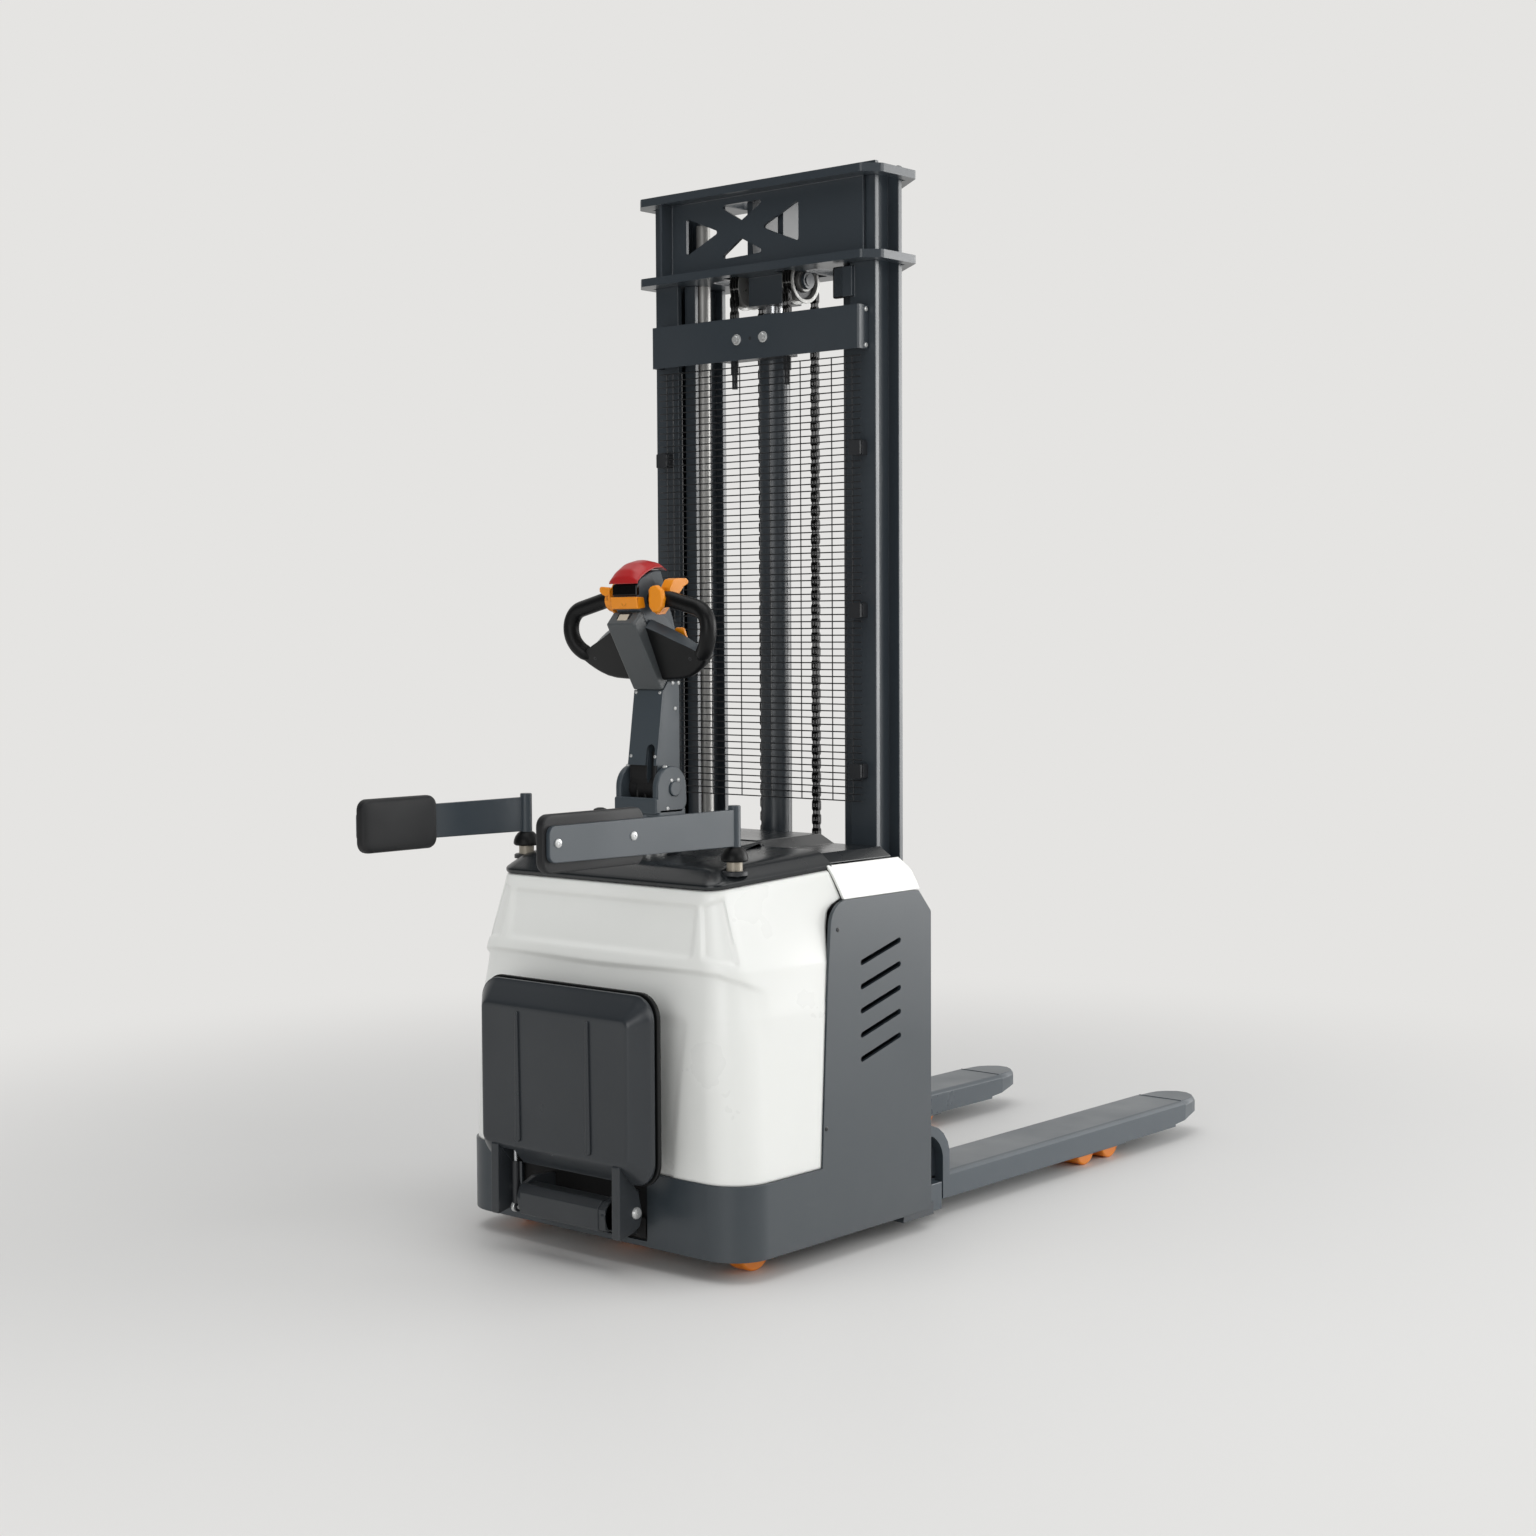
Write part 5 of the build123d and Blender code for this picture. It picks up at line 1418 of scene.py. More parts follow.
@dataclass
class TillerBase:
    """The yoke on the steering column and the pivoting tiller arm with its rear panel."""

    pivot: Point2 = (197, 983)
    column_y: float = 190
    column: Outline = ((0, 861), (56, 861), (58, 863), (58, 929), (54, 931), (0, 931))
    yoke_half: float = 62
    foot_y: Point2 = (141, 237)
    foot_z: Point2 = (924, 942)
    wall_y: Point2 = (139, 151)
    wall_z: Point2 = (930, 965)
    ear_centre: Point2 = (189.5, 986)
    ear_radius: float = 46.2
    ear_foot: Outline = ((143, 930), (222, 930), (237, 950))
    ear_radii: Values = (6, 10, 14)
    ear_inside: float = 46.6
    ear_steps: int = 20
    pivot_cap: Outline = ((0, 4.6), (14.6, 4.6), (16.5, 3.2), (16.5, 0), (0, 0))
    pivot_cap_x: float = 61.5
    ear_screws: Outline = ((188, 1001), (209, 1001), (175, 941.5))
    ear_screw_x: float = 61.6
    top_screw: Point3 = (54, 176, 1030)
    top_screw_axis: Point3 = (0, -0.3, 1)
    # The shank's side view, the two cheeks that leave the slot open, and the filling above it.
    shank: Outline = ((164, 1005), (166, 1033), (188, 1193), (200.5, 1211.6), (239, 1211.6),
                      (239, 983), (226, 960), (180, 958))
    shank_radii: Values = (4, 0, 0, 4, 6, 0, 10, 10)
    cheeks: Outline = ((-40, 11), (35, 40))
    filling: Outline = ((178.5, 1079), (188, 1193), (200.5, 1211.6), (239, 1211.6), (239, 983),
                        (226, 960), (205, 958), (205, 1079))
    filling_x: Point2 = (10, 36)
    barrel: Outline = ((10, -46.3), (28, -46.3), (30, -44), (30, 44), (28, 46.3), (10, 46.3))
    # Height below which the rear-facing faces of the shank and barrel get painted shade.
    painted_shade_below: float = 1036
    # The rear panel: left and right side, foot and top, with its round-topped slot.
    panel: Quad = (-41, 43, 1033, 1193)
    panel_wall: float = 4.5
    panel_y: float = 160.5
    panel_lean: float = 0.1375
    slot_x: Point2 = (11, 35)
    slot_top: float = 1066
    slot_radius: float = 12
    slot_steps: int = 10
    panel_screws: Outline = ((-34, 1188), (36, 1188), (-33, 1052), (38, 1052))
    panel_screw_axis: Point3 = (0, -1, 0.13)
    cheek_screws: Outline = ((223.7, 1153), (216.7, 1208), (235, 1208))
    cheek_screw_x: float = 39.8
    # Start, end and radius of the damper and the two hoses behind the slot.
    damper: tuple[tuple[Point3, Point3, float], ...] = (
        ((23, 176, 958), (23, 182, 1062), 8.5), ((-20, 168, 940), (-24, 176, 1012), 6),
        ((0, 172, 942), (-4, 180, 1012), 6))
    damper_steps: tuple[int, ...] = (20, 16, 16)

    def build(self) -> None:
        """Builds the yoke, the arm and the panel."""
        self.yoke()
        self.arm()

    def yoke(self) -> None:
        """Builds the yoke with its rear wall, its two ears, pivot caps and screws."""
        shape = Shape()
        half = self.yoke_half
        shape.lathe((0, self.column_y, 0), UPRIGHT, self.column, 48)
        shape.slab(Along.Z, rounded(rectangle(-half, half, *self.foot_y), 12, 5), *self.foot_z, 4.0)
        shape.slab(Along.Y, rounded(rectangle(-half, half, *self.wall_z), 5, 5),
                   *self.wall_y, 3.5, 4)
        y, z = self.ear_centre
        turns = [math.pi * k / self.ear_steps for k in range(self.ear_steps + 1)]
        top = tuple((y + self.ear_radius * math.cos(turn), z + self.ear_radius * math.sin(turn))
                    for turn in turns)
        ear = rounded(self.ear_foot + top, self.ear_radii, 4)
        for side in SIDES:
            shape.slab(Along.X, ear, *span(side, self.ear_inside, half), 4.0, 4)
            shape.lathe((side * self.pivot_cap_x, *self.pivot), (side, 0, 0), self.pivot_cap, 32)
        shape.paint = 1
        for side in SIDES:
            for spot in self.ear_screws:
                shape.lathe((side * self.ear_screw_x, *spot), (side, 0, 0), screw_head(0.5, 0.7),
                            20)
            x, y, z = self.top_screw
            shape.lathe((side * x, y, z), self.top_screw_axis, screw_head(0.6, 1.0), 20)
        shape.piece("tiller_yoke_skin", "steering", [DARK_GREY, ZINC], "black_plastic",
                    ["tiller_yoke"])

    def on_panel(self, point: Point2, depth: float) -> Vector:
        """Puts a point on the leaning rear panel."""
        lean = self.panel_y + (point[1] - self.panel[2]) * self.panel_lean
        return Vector((point[0], lean + depth, point[1]))

    def arm(self) -> None:
        """Builds the shank, its rear panel with the slot, the damper and the screws, and paints
        shade on the low rear faces.
        """
        shape = Shape()
        for low, high in self.cheeks:
            shape.slab(Along.X, rounded(self.shank, self.shank_radii, 3), low, high, 2.5)
        shape.slab(Along.X, self.filling, *self.filling_x)
        shape.lathe((0, *self.pivot), (1, 0, 0), self.barrel, 40)
        # Painted shade: near-black on the rear-facing faces low between the ears.
        shape.repaint(4, lambda face: face.normal.y < -FACING
                      and face.calc_center_median().z < self.painted_shade_below)
        shape.paint = 1
        left, right, foot, top = self.panel
        turns = [math.pi * k / self.slot_steps for k in range(self.slot_steps, -1, -1)]
        notch = [(self.slot_x[0] + self.slot_radius + self.slot_radius * math.cos(turn),
                  self.slot_top + self.slot_radius * math.sin(turn)) for turn in turns]
        outline = [(left, foot), (self.slot_x[0], foot), *notch, (self.slot_x[1], foot),
                   (right, foot), (right, top), (left, top)]
        shape.slab(self.on_panel, outline, 0, self.panel_wall, 0.6, 2)
        shape.paint = 2
        for spot in self.panel_screws:
            shape.lathe(tuple(self.on_panel(spot, 0.0)), self.panel_screw_axis,
                        screw_head(0.42, 0.6), 18)
        for spot in self.cheek_screws:
            shape.lathe((self.cheek_screw_x, *spot), (1, 0, 0), screw_head(0.5, 0.7), 18)
        shape.paint = 3
        for (start, end, radius), steps in zip(self.damper, self.damper_steps):
            shape.rod(start, end, radius, steps)
        shape.piece("tiller_arm_skin", "tiller",
                    [DARK_GREY, DARK_GREY, ZINC, BLACK_GRAIN, PAINTED_SHADE], "black_plastic",
                    ["tiller_arm", "tiller_panel"])


@dataclass
class TillerHead:
    """The tiller head with its wedge cover, wings, grips and controls."""

    half: float = 39
    profile: Outline = (
        (124, 1363.5), (115, 1390), (113.5, 1414), (124, 1431), (150, 1443.5), (172, 1449),
        (190, 1450), (200, 1424), (206, 1395), (226, 1345), (231, 1310), (214, 1213),
        (201.5, 1213), (201.5, 1225.5))
    profile_radii: Values = (6, 10, 10, 14, 20, 16, 8, 12, 20, 16, 14)
    # Creases of the sides, with the loss of width in front of them and behind them.
    creases: tuple[tuple[Point2, Point2], ...] = (((154, 1446), (193, 1353.6)),
                                                  ((193, 1353.6), (231, 1318)))
    front_loss: float = 0.0045
    rear_loss: float = 0.0018
    rear_reach: float = 45
    window: Quad = (-36.5, 36.5, 1393, 1419)
    window_y: Point2 = (111.6, 122)
    wedge: Outline = ((179, 1194), (97, 1334), (123, 1363), (201, 1225), (201, 1213), (188, 1194))
    wedge_radii: Values = (6, 5, 5, 4)
    wedge_half: float = 41
    # Middle of the wedge's top, and its run in Y and Z per unit along and above it.
    wedge_top: Point2 = (110, 1348.5)
    wedge_along: Point2 = (0.74 * math.cos(math.atan2(26, 29)), 0.745)
    wedge_above: Point2 = (-0.74, 0.67)
    # Near-black painted shade around the display, standing in for its shadowed recess.
    recess_painted_shade: Quad = (-19, 19, -13, 13)
    display: Quad = (-15, 13, -9, 8)
    # Side and middle line of the red cap, in Y and Z.
    cap_edge: Outline = ((108.5, 1420), (110.5, 1425), (120, 1433), (138, 1444), (162, 1453.5),
                         (186, 1456), (199, 1449))
    cap_crest: Outline = ((104, 1419.5), (106.5, 1434), (117, 1450.5), (139, 1465), (165, 1471),
                          (188, 1467.5), (202, 1452))
    cap_half: float = 42
    cap_wall: float = 1.7
    cap_powers: Point2 = (2.6, 0.8)
    # Distance across, then crease, top and foot of the wing on the handle plane.
    wing: tuple[Quad, ...] = (
        (39.5, 40, 48, -88), (60, 32, 40, -86.5), (80, 23.5, 31, -85.5), (100, 13.5, 21, -84),
        (120, 4.5, 10, -79.5), (140, -4, -4, -71), (155, -11.5, -14, -62),
        (168, -18, -22, -52.5), (176, -25, -28, -44), (180, -30, -32, -39))
    wing_half: float = 15
    wing_ridge: float = -9
    wing_drop: float = 6
    wing_facing: float = 0.2
    wing_radii: Values = (11, 2, 3, 4, 11)
    wing_screw: Point3 = (140, -33.5, 14.6)
    wing_screw_head: Outline = ((0, 0.2), (2.2, 0.2), (2.6, 0.9), (4.2, 0.6), (4.4, 0), (0, 0))
    hub: Point2 = (153, 1386)
    # The grip loop in X and Z, then the arc that leads it into the wing.
    bow: Outline = ((42.8, 1386), (96, 1386), (202, 1360), (202, 1270))
    bow_radii: Values = (0, 42, 42)
    loop_radius: float = 17.2
    loop_taper: float = 0.3
    taper_points: int = 5
    arc_start: Point2 = (202, 1326)
    arc_radius: float = 60
    arc_lean: Point2 = (0.88, 0.475)
    arc_steps: int = 16
    arc_step: float = math.radians(5)
    horn: Outline = ((112.5, 1366), (121.3, 1366), (113.6, 1391.6), (109, 1391.6))
    horn_radii: Values = (3, 0, 0, 3)
    horn_x: Point2 = (-39.5, 38.5)
    horn_arm: Outline = ((116, 1366), (137, 1369), (132, 1391), (112, 1391.6))
    horn_arm_x: Point2 = (35.7, 38.5)
    horn_mark: Outline = ((5.4, -0.4), (6.6, -0.4), (6.6, 0.35), (5.4, 0.35))
    horn_mark_at: Point3 = (0, 110.9, 1378.8)
    horn_mark_axis: Point3 = (0, -0.99, 0.135)
    # The levers' hub, which the dressed piece moves out: CAD start, CAD end and new start.
    lever_bore: float = 19.5
    lever_hub: Point3 = (46.5, 64, 56)
    shield: Outline = ((57, 1402), (63, 1414), (80, 1416), (95, 1405), (100, 1387), (96, 1369),
                       (84, 1358), (68, 1358), (57, 1370))
    shield_y: Point2 = (124.5, 138)
    tip: Outline = ((-57, 1396), (-60, 1413), (-85, 1415), (-88.5, 1412), (-88.5, 1404),
                    (-80, 1397), (-70, 1394))
    tip_radii: Values = (3, 5, 3, 3, 4, 6, 4)
    tip_y: Point2 = (126, 137)
    lift_stem: Point2 = (96, -3)
    lift_stem_depths: Point2 = (-10, -20)
    lift_face: Quad = (88, 114, -11, 22)
    lift_depths: Point2 = (-25, -18)

    def build(self) -> None:
        """Builds the whole head."""
        self.body()
        self.cover()
        self.cap()
        self.grips()
        self.horn_bar()
        self.levers()
        self.lift_button()

    def body(self) -> None:
        """Builds the faceted head and its dark window."""
        shape = Shape()
        shape.slab(Along.X, rounded(self.profile, self.profile_radii, 4), -self.half,
                   self.half, 4.0, 4)
        for first, second in self.creases:
            run = Vector((0.0, second[0] - first[0], second[1] - first[1]))
            bmesh.ops.bisect_plane(
                shape.bm, geom=shape.bm.verts[:] + shape.bm.edges[:] + shape.bm.faces[:],
                dist=Shape.MERGE, plane_co=Vector((0.0, *first)),
                plane_no=run.cross(Vector((1.0, 0.0, 0.0))).normalized())
        for vert in shape.bm.verts:
            ahead = min(self.beyond(vert.co, crease) for crease in self.creases)
            loss = self.rear_loss * min(-ahead, self.rear_reach)
            vert.co.x *= 1 - (self.front_loss * ahead if ahead > 0 else loss)
        shape.paint = 1
        shape.slab(Along.Y, rounded(rectangle(*self.window), 5, 4), *self.window_y, 4.0, 4)
        shape.piece("tiller_head_skin", "tiller", [DARK_GREY, WINDOW], "grey_plastic",
                    ["tiller_head"], smooth=12.0)

    @staticmethod
    def beyond(spot: Vector, crease: tuple[Point2, Point2]) -> float:
        """Measures how far a point lies in front of a crease.

        Args:
            spot: The point.
            crease: Two points of the crease, in Y and Z.

        Returns:
            The distance, negative behind the crease.
        """
        (y0, z0), (y1, z1) = crease
        run = Vector((y1 - y0, z1 - z0)).normalized()
        return run.x * (spot.z - z0) - run.y * (spot.y - y0)

    def on_wedge(self, point: Point2, depth: float) -> Vector:
        """Puts a point on the wedge's sloping top."""
        y, z = (start + point[1] * along + depth * above for start, along, above
                in zip(self.wedge_top, self.wedge_along, self.wedge_above))
        return Vector((point[0], y, z))

    def cover(self) -> None:
        """Builds the wedge cover with its display and the painted shade around it."""
        shape = Shape()
        shape.slab(Along.X, rounded(self.wedge, self.wedge_radii, 4), -self.wedge_half,
                   self.wedge_half, 5.0, 4)
        # Painted shade: a near-black sheet around the display where the recess lies in shadow.
        shape.paint = 1
        shape.slab(self.on_wedge, rounded(rectangle(*self.recess_painted_shade), 2, 3), -2.0, 0.5, 0.3, 2)
        shape.paint = 2
        shape.slab(self.on_wedge, rounded(rectangle(*self.display), 1, 2), 0.0, 0.9, 0.2, 2)
        shape.piece("tiller_wedge_skin", "tiller", [WEDGE_GREY, PAINTED_SHADE, DISPLAY], "grey_plastic",
                    ["tiller_wedge"])

    def cap(self) -> None:
        """Builds the red cap as a crowned grid with a wall."""
        shape = Shape()
        bmesh.ops.create_grid(shape.bm, x_segments=24, y_segments=36, size=1.0)
        last = len(self.cap_edge) - 1
        fullness, sharpness = self.cap_powers
        for vert in shape.bm.verts:
            run = (vert.co.y + 1) / 2 * last
            cell = min(int(run), last - 1)
            low, high = (Vector(line[cell]).lerp(Vector(line[cell + 1]), run - cell)
                         for line in (self.cap_edge, self.cap_crest))
            spot = low.lerp(high, (1 - abs(vert.co.x) ** fullness) ** sharpness)
            vert.co = Vector((self.cap_half * vert.co.x, spot.x, spot.y))
        bmesh.ops.smooth_vert(shape.bm, verts=[v for v in shape.bm.verts if not v.is_boundary],
                              factor=0.5, use_axis_x=False, use_axis_y=True, use_axis_z=True)
        bmesh.ops.recalc_face_normals(shape.bm, faces=shape.bm.faces)
        shape.turn_out(max(shape.bm.faces, key=lambda face: face.calc_center_median().z), 2, 1)
        shape.piece("belly_button_skin", "belly_button", [CAP_RED], "red_plastic",
                    ["belly_button"], smooth=60.0, weighted=False, wall=self.cap_wall)

    def loop(self, side: int) -> list[Vector]:
        """Draws the centre line of one grip loop, from the head to the wing.

        Args:
            side: 1 for the right, -1 for the left.

        Returns:
            The line's points.
        """
        y = self.hub[0]
        path = [Vector((side * x, y, z)) for x, z in rounded(self.bow, self.bow_radii, 10)[:-1]]
        x, z = self.arc_start
        for step in range(1, self.arc_steps + 1):
            turn = self.arc_step * step
            inward = self.arc_radius * (1 - math.cos(turn))
            path.append(Vector((side * (x - self.arc_lean[0] * inward),
                                y + self.arc_lean[1] * inward,
                                z - self.arc_radius * math.sin(turn))))
        return path

    def grips(self) -> None:
        """Builds the wings with their sloping top band, and the grip loops that flow into them."""
        wing = Shape()
        loops = Shape()
        half = self.wing_half
        for side in SIDES:
            rings = []
            for x, crease, top, low in self.wing:
                ring = rounded([(half, low), (half, crease), (self.wing_ridge, top),
                                (-half, top - self.wing_drop), (-half, low)], self.wing_radii, 4)
                rings.append([on_grip(side * x, up, proud) for proud, up in ring])
            wing.loft(rings)
            path = self.loop(side)
            count = len(path)
            radii = [self.loop_radius * (1 - self.loop_taper * smoothstep(
                index, count - self.taper_points, count - 1)) for index in range(count)]
            loops.tube(path, Vector((0.0, -1.0, 0.0)), radii, 32)
        wing.repaint(1, lambda face: face.normal.z > self.wing_facing)
        wing.paint = 2
        across, up, proud = self.wing_screw
        for side in SIDES:
            wing.lathe(tuple(on_grip(side * across, up, proud)), tuple(GRIP_NORMAL),
                       self.wing_screw_head, 16)
        wing.piece("tiller_wing_skin", "tiller", [WING_BLACK, DARK_GREY, BLACK_STEEL],
                   "black_plastic", ["tiller_wing"])
        loops.piece("tiller_loops_skin", "tiller", [GRIP_RUBBER], "black_rubber",
                    ["tiller_loops"], smooth=60.0)

    def horn_bar(self) -> None:
        """Builds the horn bar with its side arms and its ring mark."""
        bar = Shape()
        bar.slab(Along.X, rounded(self.horn, self.horn_radii, 4), *self.horn_x, 3.0, 4)
        for side in SIDES:
            bar.slab(Along.X, rounded(self.horn_arm, 3, 4), *span(side, *self.horn_arm_x), 1.3, 3)
        bar.paint = 1
        bar.lathe(self.horn_mark_at, self.horn_mark_axis, self.horn_mark, 36)
        bar.piece("horn_bar_skin", "horn_bar", [LEVER_YELLOW, BAR_MARK], "yellow_plastic",
                  ["horn_bar"])

    def levers(self) -> None:
        """Builds the thumb levers, with the shield on the right and the tip on the left."""
        shape = Shape("thumb_levers")
        axle = Vector((0.0, *self.hub))

        def clear(edge: Edge) -> bool:
            """Tells whether an edge lies outside the bore."""
            middle = (edge.verts[0].co + edge.verts[1].co) / 2 - axle
            return math.hypot(middle.y, middle.z) > self.lever_bore

        shape.soften(2.4, 28.0, 3, only=clear)
        start, end, moved = self.lever_hub
        for vert in shape.bm.verts:
            across = abs(vert.co.x)
            if across < end:
                drawn = moved + (across - start) * (end - moved) / (end - start)
                vert.co.x = math.copysign(drawn, vert.co.x)
        shape.slab(Along.Y, rounded(self.shield, 9, 5), *self.shield_y, 6.0, 6)
        shape.slab(Along.Y, rounded(self.tip, self.tip_radii, 5), *self.tip_y, 2.5, 4)
        shape.piece("thumb_levers_skin", "thumb_levers", [LEVER_YELLOW], "yellow_plastic",
                    ["thumb_levers"])

    def lift_button(self) -> None:
        """Builds the lift button on its stem."""
        button = Shape()
        low, high = (tuple(on_grip(*self.lift_stem, depth)) for depth in self.lift_stem_depths)
        button.rod(low, high, 5.0, 20)
        button.slab(lambda point, depth: on_grip(*point, depth),
                    rounded(rectangle(*self.lift_face), 6, 4), *self.lift_depths, 2.0)
        button.piece("lift_button_skin", "lift_button", [LEVER_YELLOW], "yellow_plastic",
                     ["lift_button"])


@dataclass
class MastDetails:
    """Small parts of the mast and skirt: crossbar bolts, side screws, stop block and its screws, and
    a disc of painted shade in the crossbar's hole.
    """

    crossbar: Point2 = (525, 1972)
    bolts: Point2 = (-43, 35)
    bolt: Outline = ((0, 0), (12.2, 0), (12.2, 1.6), (11.2, 2.2), (8.5, 2.2), (8.5, 7.4),
                     (7.4, 8.6), (0, 8.6))
    # A thin dark disc of painted shade behind the hole between the crossbar bolts.
    hole_painted_shade_x: float = -4
    hole_painted_shade: Outline = ((0, 0.3), (3.6, 0.3), (4.2, 0), (0, 0))
    flange: Point2 = (306, 551)
    flange_screws: Point2 = (1934, 2011)
    side_x: float = 415
    side_screws: Outline = ((314, 696), (275, 283))
    # Left, right, foot and top of the stop block, its depths, and its screws.
    block: Quad = (215, 244, 2041, 2109)
    block_y: Point2 = (550, 559.5)
    block_screw: Point2 = (252, 560)
    block_screws: Point2 = (2058, 2082)

    def build(self) -> None:
        """Builds the bolts and the block."""
        bolts = Shape()
        backwards = (0, -1, 0)
        for x in self.bolts:
            bolts.lathe((x, *self.crossbar), backwards, self.bolt, 28)
        for z in self.flange_screws:
            bolts.lathe((*self.flange, z), (1, 0, 0), screw_head(0.6, 0.7), 18)
        bolts.paint = 1
        # Painted shade: a dark disc fills the hole between the crossbar bolts.
        bolts.lathe((self.hole_painted_shade_x, *self.crossbar), backwards, self.hole_painted_shade, 18)
        for side in SIDES:
            for spot in self.side_screws:
                bolts.lathe((side * self.side_x, *spot), (side, 0, 0), screw_head(0.55, 0.5), 20)
        bolts.piece("chassis_bolts_skin", "chassis", [ZINC, BLACK_STEEL], "bright_steel",
                    ["chassis_bolts"])
        block = Shape()
        block.slab(Along.Y, rounded(rectangle(*self.block), 4, 3), *self.block_y, 1.5)
        block.paint = 1
        for z in self.block_screws:
            block.lathe((*self.block_screw, z), backwards, screw_head(0.6, 0.7), 20)
        block.piece("mast_stop_block", "chassis", [BLACK_GRAIN, ZINC], "black_plastic")


@dataclass
class DisconnectKnob:
    """The emergency disconnect knob on the deck."""

    centre: Point2 = (-130, 165)
    profile: Outline = ((0, 800), (7, 800), (7, 906), (15, 906), (17, 909), (17, 926), (14, 933),
                        (7, 936), (0, 936.4))

    def build(self) -> None:
        """Builds the stem and the domed head."""
        shape = Shape()
        shape.lathe((*self.centre, 0), UPRIGHT, self.profile, 32)
        shape.piece("disconnect_knob_skin", "disconnect_knob", [BLACK_GRAIN], "black_plastic",
                    ["disconnect_knob"])


@dataclass
class PlainNodes:
    """CAD nodes whose shape is right and that only need a finish."""

    finishes: dict[str, Finish] = field(default_factory=lambda: {
        "base_plate": MAST_PAINT, "battery_pack": BATTERY, "hydraulic_unit": CASTING,
        "motor_controller": ALLOY, "drive_unit": CASTING, "steering_column": ZINC,
        "gas_barrel": BLACK_STEEL, "gas_rod": CHROME,
    })

    def build(self) -> None:
        """Assigns each node its finish."""
        for node, finish in self.finishes.items():
            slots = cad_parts[node].data.materials
            slots.clear()
            slots.append(finish.material())
            LOG.info("%s keeps its solid", node)


@dataclass(frozen=True)
class Softened:
    """How one CAD node is shown: its finish, the width of its rounds, its body and its slot."""

    finish: Finish
    width: float
    body: str
    slot: str
    smooth: float = 35

    def build(self, node: str) -> None:
        """Makes a copy of the node with rounded edges.

        Args:
            node: The CAD node's name.
        """
        shape = Shape(node)
        if self.width > 0:
            shape.soften(self.width)
        shape.piece(f"{node}_skin", self.body, [self.finish], self.slot, [node], self.smooth)


@dataclass
class SoftenedNodes:
    """CAD nodes that are shown with rounded edges."""

    fixed: dict[str, Softened] = field(default_factory=lambda: {
        "skirt_frame": Softened(SLATE, 1.2, "chassis", "anthracite"),
        "support_legs": Softened(FORK_PAINT, 2, "chassis", "fork_paint"),
        "outer_rails": Softened(MAST_PAINT, 1.5, "chassis", "anthracite"),
        "mast_crossbar": Softened(MAST_PAINT, 1.2, "chassis", "anthracite"),
        "chain_anchors": Softened(BLACK_STEEL, 0.6, "chassis", "bright_steel"),
        "mesh_clips": Softened(BLACK_STEEL, 0.8, "chassis", "black_steel"),
        "lift_barrel": Softened(MAST_PAINT, 1, "chassis", "black_steel"),
        "side_barrels": Softened(TUBE_SILVER, 0.8, "chassis", "bright_steel"),
        "shoulder_covers": Softened(COVER_WHITE, 1.2, "chassis", "white_cover"),
        "inner_rails": Softened(MAST_PAINT, 1.5, "inner_mast", "anthracite"),
        "mast_head": Softened(MAST_PAINT, 1.5, "inner_mast", "anthracite"),
        "lift_rods": Softened(CHROME, 1, "inner_mast", "chrome_rod"),
        "carriage_frame": Softened(MAST_PAINT, 1.5, "carriage", "anthracite"),
        "forks": Softened(FORK_PAINT, 1.6, "carriage", "fork_paint", 24),
        "drive_wheel": Softened(WHEEL_ORANGE, 0, "drive_wheel", "orange_tyre"),
    })

    def build(self) -> None:
        """Makes a rounded copy of each node."""
        for node, look in self.fixed.items():
            look.build(node)
        for side in ("left", "right"):
            for end in ("rear", "front"):
                wheel = f"load_wheel_{side}_{end}"
                Softened(WHEEL_ORANGE, 1.0, wheel, "orange_tyre").build(wheel)
            fork, wheel = f"caster_fork_{side}", f"caster_wheel_{side}"
            Softened(ZINC, 0.0, fork, "bright_steel", 20.0).build(fork)
            Softened(WHEEL_ORANGE, 0.0, wheel, "orange_tyre", 20.0).build(wheel)


@dataclass(frozen=True)
class Lamp:
    """One area lamp of the studio, in metres and watts."""

    name: str
    place: Point3
    aim: Point3
    size: Point2
    power: float

    def hang(self) -> None:
        """Hangs the lamp and turns it to its aim."""
        data = bpy.data.lights.new(self.name, "AREA")
        data.energy = self.power
        data.shape = "RECTANGLE"
        data.size, data.size_y = self.size
        lamp = bpy.data.objects.new(self.name, data)
        lamp.location = self.place
        lamp.rotation_mode = "QUATERNION"
        lamp.rotation_quaternion = (Vector(self.aim) - Vector(self.place)).to_track_quat("-Z", "Y")
        bpy.context.collection.objects.link(lamp)


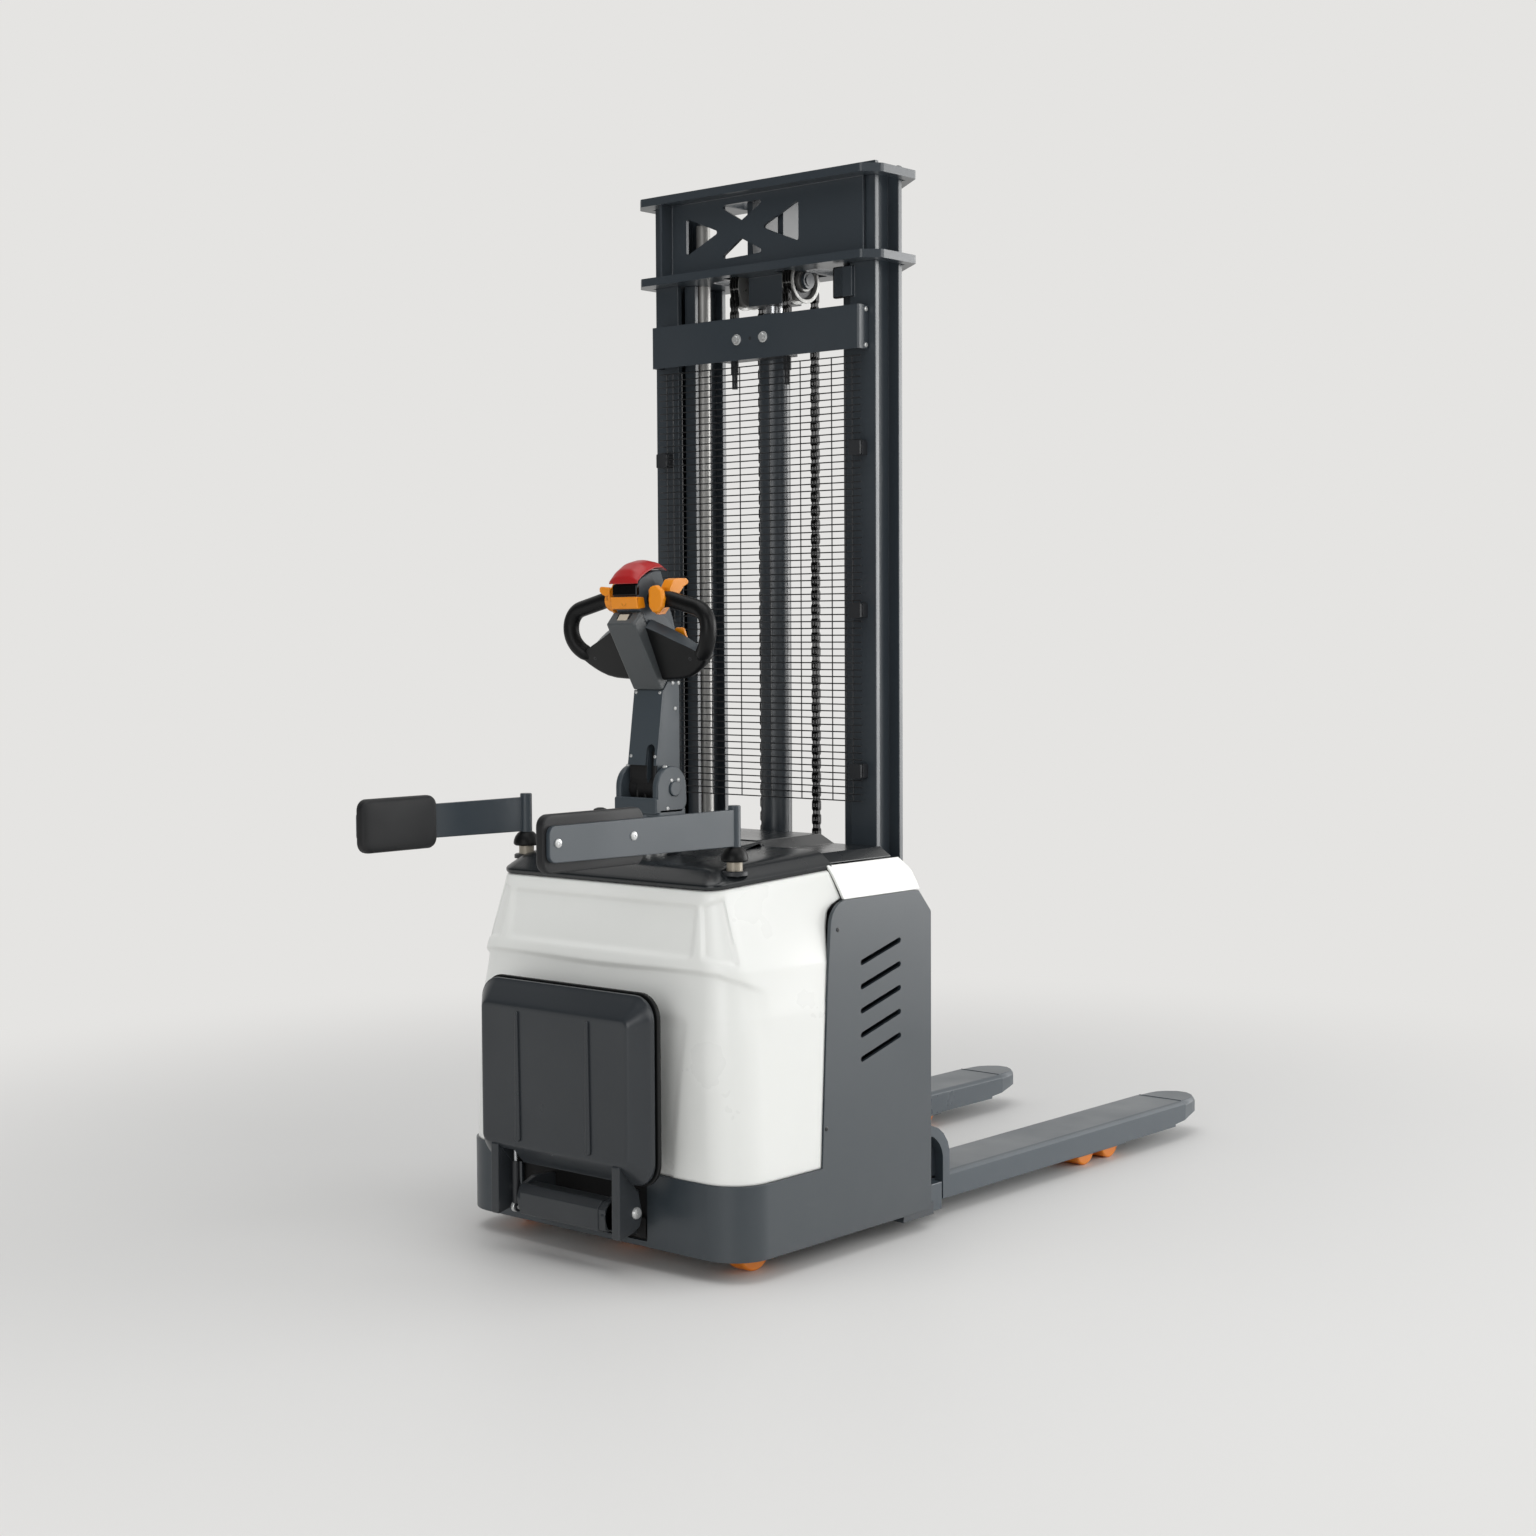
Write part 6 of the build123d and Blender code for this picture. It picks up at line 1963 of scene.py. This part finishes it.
@dataclass
class Studio:
    """The floor, the lamps, the world and the camera."""

    camera: Point3 = (3498.2, -3481.9, 1316.3)
    yaw: float = 40.77
    pitch: float = 3.3
    roll: float = -0.29
    lens: float = 55.3
    sensor: float = 36
    sight: float = 200
    backdrop: Colour = linear(229, 228, 226)
    floor_radius: float = 16
    floor_colour: Colour = linear(231, 230, 228)
    floor_roughness: float = 0.55
    floor_specular: float = 0.35
    # Distances at which the floor starts to fade and is all backdrop.
    floor_fade: Point2 = (1.2, 3.6)
    sky: float = 0.42
    sky_colour: Colour = (0.97, 0.985, 1)
    # The room that glossy surfaces show: its dark and pale ends, and a window ahead on the right.
    room_dark: float = 0.05
    room_pale: float = 0.95
    room_turn: Point2 = (-0.55, 0.25)
    room_window: float = 3.2
    window_ahead: Point2 = (0.5, 0.95)
    window_right: Point2 = (-0.1, 0.3)
    lamps: tuple[Lamp, ...] = (
        Lamp("softbox", (4, 4.6, 1.7), (0, 0, 1.1), (4.5, 3), 150),
        Lamp("key", (5.4, -0.4, 3.4), (0, -0.2, 0.9), (3, 3), 63),
        Lamp("top", (0.6, -1.2, 5.6), (0, -0.2, 0.8), (4.6, 4.6), 107),
        Lamp("fill", (2.2, -6.4, 2), (0, -0.6, 0.8), (3.4, 3.4), 88),
    )

    def build(self) -> None:
        """Builds the stage."""
        self.world()
        self.floor()
        for lamp in self.lamps:
            lamp.hang()
        self.place_camera()

    @staticmethod
    def ramp(tree: Tree, value: Socket, limits: Point2, results: Point2 = (0.0, 1.0)) -> Socket:
        """Returns a socket that eases between two results while the value crosses its limits."""
        return add_node(tree, "MapRange", {
            "Value": value, "From Min": limits[0], "From Max": limits[1], "To Min": results[0],
            "To Max": results[1]}, interpolation_type="SMOOTHSTEP").outputs["Result"]

    def world(self) -> None:
        """Sets a pale backdrop, an even sky, and a room with a window for reflections."""
        world = bpy.data.worlds.new("studio")
        bpy.context.scene.world = world
        world.use_nodes = True
        tree = world.node_tree
        lit = tree.nodes["Background"]
        fill(tree, lit, {"Color": (*self.sky_colour, 1.0), "Strength": self.sky})
        pale = (*self.backdrop, 1.0)
        seen = add_node(tree, "Background", {"Color": pale})
        where = add_node(tree, "TexCoord", {})
        parts = add_node(tree, "SeparateXYZ", {"Vector": where.outputs["Generated"]}).outputs
        room = self.ramp(tree, parts["Y"], self.room_turn, (self.room_dark, self.room_pale))
        ahead = self.ramp(tree, parts["Y"], self.window_ahead, (0.0, self.room_window))
        window = product(tree, ahead, self.ramp(tree, parts["X"], self.window_right))
        level = add_node(tree, "Math", {0: window, 1: room}, operation="ADD")
        shown = add_node(tree, "Background", {"Color": pale, "Strength": level.outputs["Value"]})
        path = add_node(tree, "LightPath", {}).outputs
        either = add_node(tree, "Math", {0: path["Is Glossy Ray"], 1: path["Is Transmission Ray"]},
                          operation="MAXIMUM")
        gloss = add_node(tree, "MixShader", {"Fac": either.outputs["Value"],
                                             1: lit.outputs["Background"],
                                             2: shown.outputs["Background"]})
        mix = add_node(tree, "MixShader", {"Fac": path["Is Camera Ray"],
                                           1: gloss.outputs["Shader"],
                                           2: seen.outputs["Background"]})
        fill(tree, tree.nodes["World Output"], {"Surface": mix.outputs["Shader"]})

    def floor(self) -> None:
        """Lays a round pale floor that fades into the background."""
        shape = bmesh.new()
        bmesh.ops.create_circle(shape, cap_ends=True, segments=96, radius=self.floor_radius)
        mesh = bpy.data.meshes.new("studio_floor")
        shape.to_mesh(mesh)
        shape.free()
        made = bpy.data.objects.new("studio_floor", mesh)
        bpy.context.collection.objects.link(made)
        material = bpy.data.materials.new("studio_floor")
        material.use_nodes = True
        tree = material.node_tree
        shader = tree.nodes["Principled BSDF"]
        fill(tree, shader, {"Base Color": (*self.floor_colour, 1.0),
                            "Roughness": self.floor_roughness,
                            "Specular IOR Level": self.floor_specular})
        glow = add_node(tree, "Emission", {"Color": (*self.backdrop, 1.0)})
        where = add_node(tree, "TexCoord", {})
        reach = add_node(tree, "VectorMath", {0: where.outputs["Object"]}, operation="LENGTH")
        fade = self.ramp(tree, reach.outputs["Value"], self.floor_fade)
        mix = add_node(tree, "MixShader", {"Fac": fade, 1: shader.outputs["BSDF"],
                                           2: glow.outputs["Emission"]})
        fill(tree, tree.nodes["Material Output"], {"Surface": mix.outputs["Shader"]})
        mesh.materials.append(material)

    def place_camera(self) -> None:
        """Puts the camera where the photograph was taken."""
        yaw, pitch, roll = (math.radians(value) for value in (self.yaw, self.pitch, self.roll))
        forward = Vector((-math.sin(yaw) * math.cos(pitch), math.cos(yaw) * math.cos(pitch),
                          -math.sin(pitch)))
        level = Vector((math.cos(yaw), math.sin(yaw), 0.0))
        upright = level.cross(forward)
        right = level * math.cos(roll) + upright * math.sin(roll)
        up = upright * math.cos(roll) - level * math.sin(roll)
        data = bpy.data.cameras.new("photo_camera")
        data.lens = self.lens
        data.sensor_width = self.sensor
        data.clip_end = self.sight
        camera = bpy.data.objects.new("photo_camera", data)
        turn = Matrix((right, up, -forward)).transposed().to_4x4()
        camera.matrix_world = Matrix.Translation(TO_FRAME @ Vector(self.camera)) @ turn
        bpy.context.collection.objects.link(camera)
        bpy.context.scene.camera = camera


def main() -> None:
    """Dresses the truck piece by piece and sets the stage."""
    logging.basicConfig(level=logging.INFO, format="%(message)s")
    bpy.context.scene.view_settings.view_transform = "Standard"
    right_arm = GuardArm(1, "right", -428.0, -150.0, (22.0, 226.0))
    left_arm = GuardArm(-1, "left", -372.0, -165.0, (22.0, 150.0))
    for assembly in (SoftenedNodes(), RearCover(), TopDeck(), BatteryLid(), Pedal(), PedalHinge(),
                     right_arm, left_arm, WireGuard(), LeafChains(), Pulley(-1, "left"),
                     Pulley(1, "right"), TillerBase(), TillerHead(), MastDetails(),
                     DisconnectKnob(), PlainNodes(), Studio()):
        assembly.build()


if __name__ == "__main__":
    main()
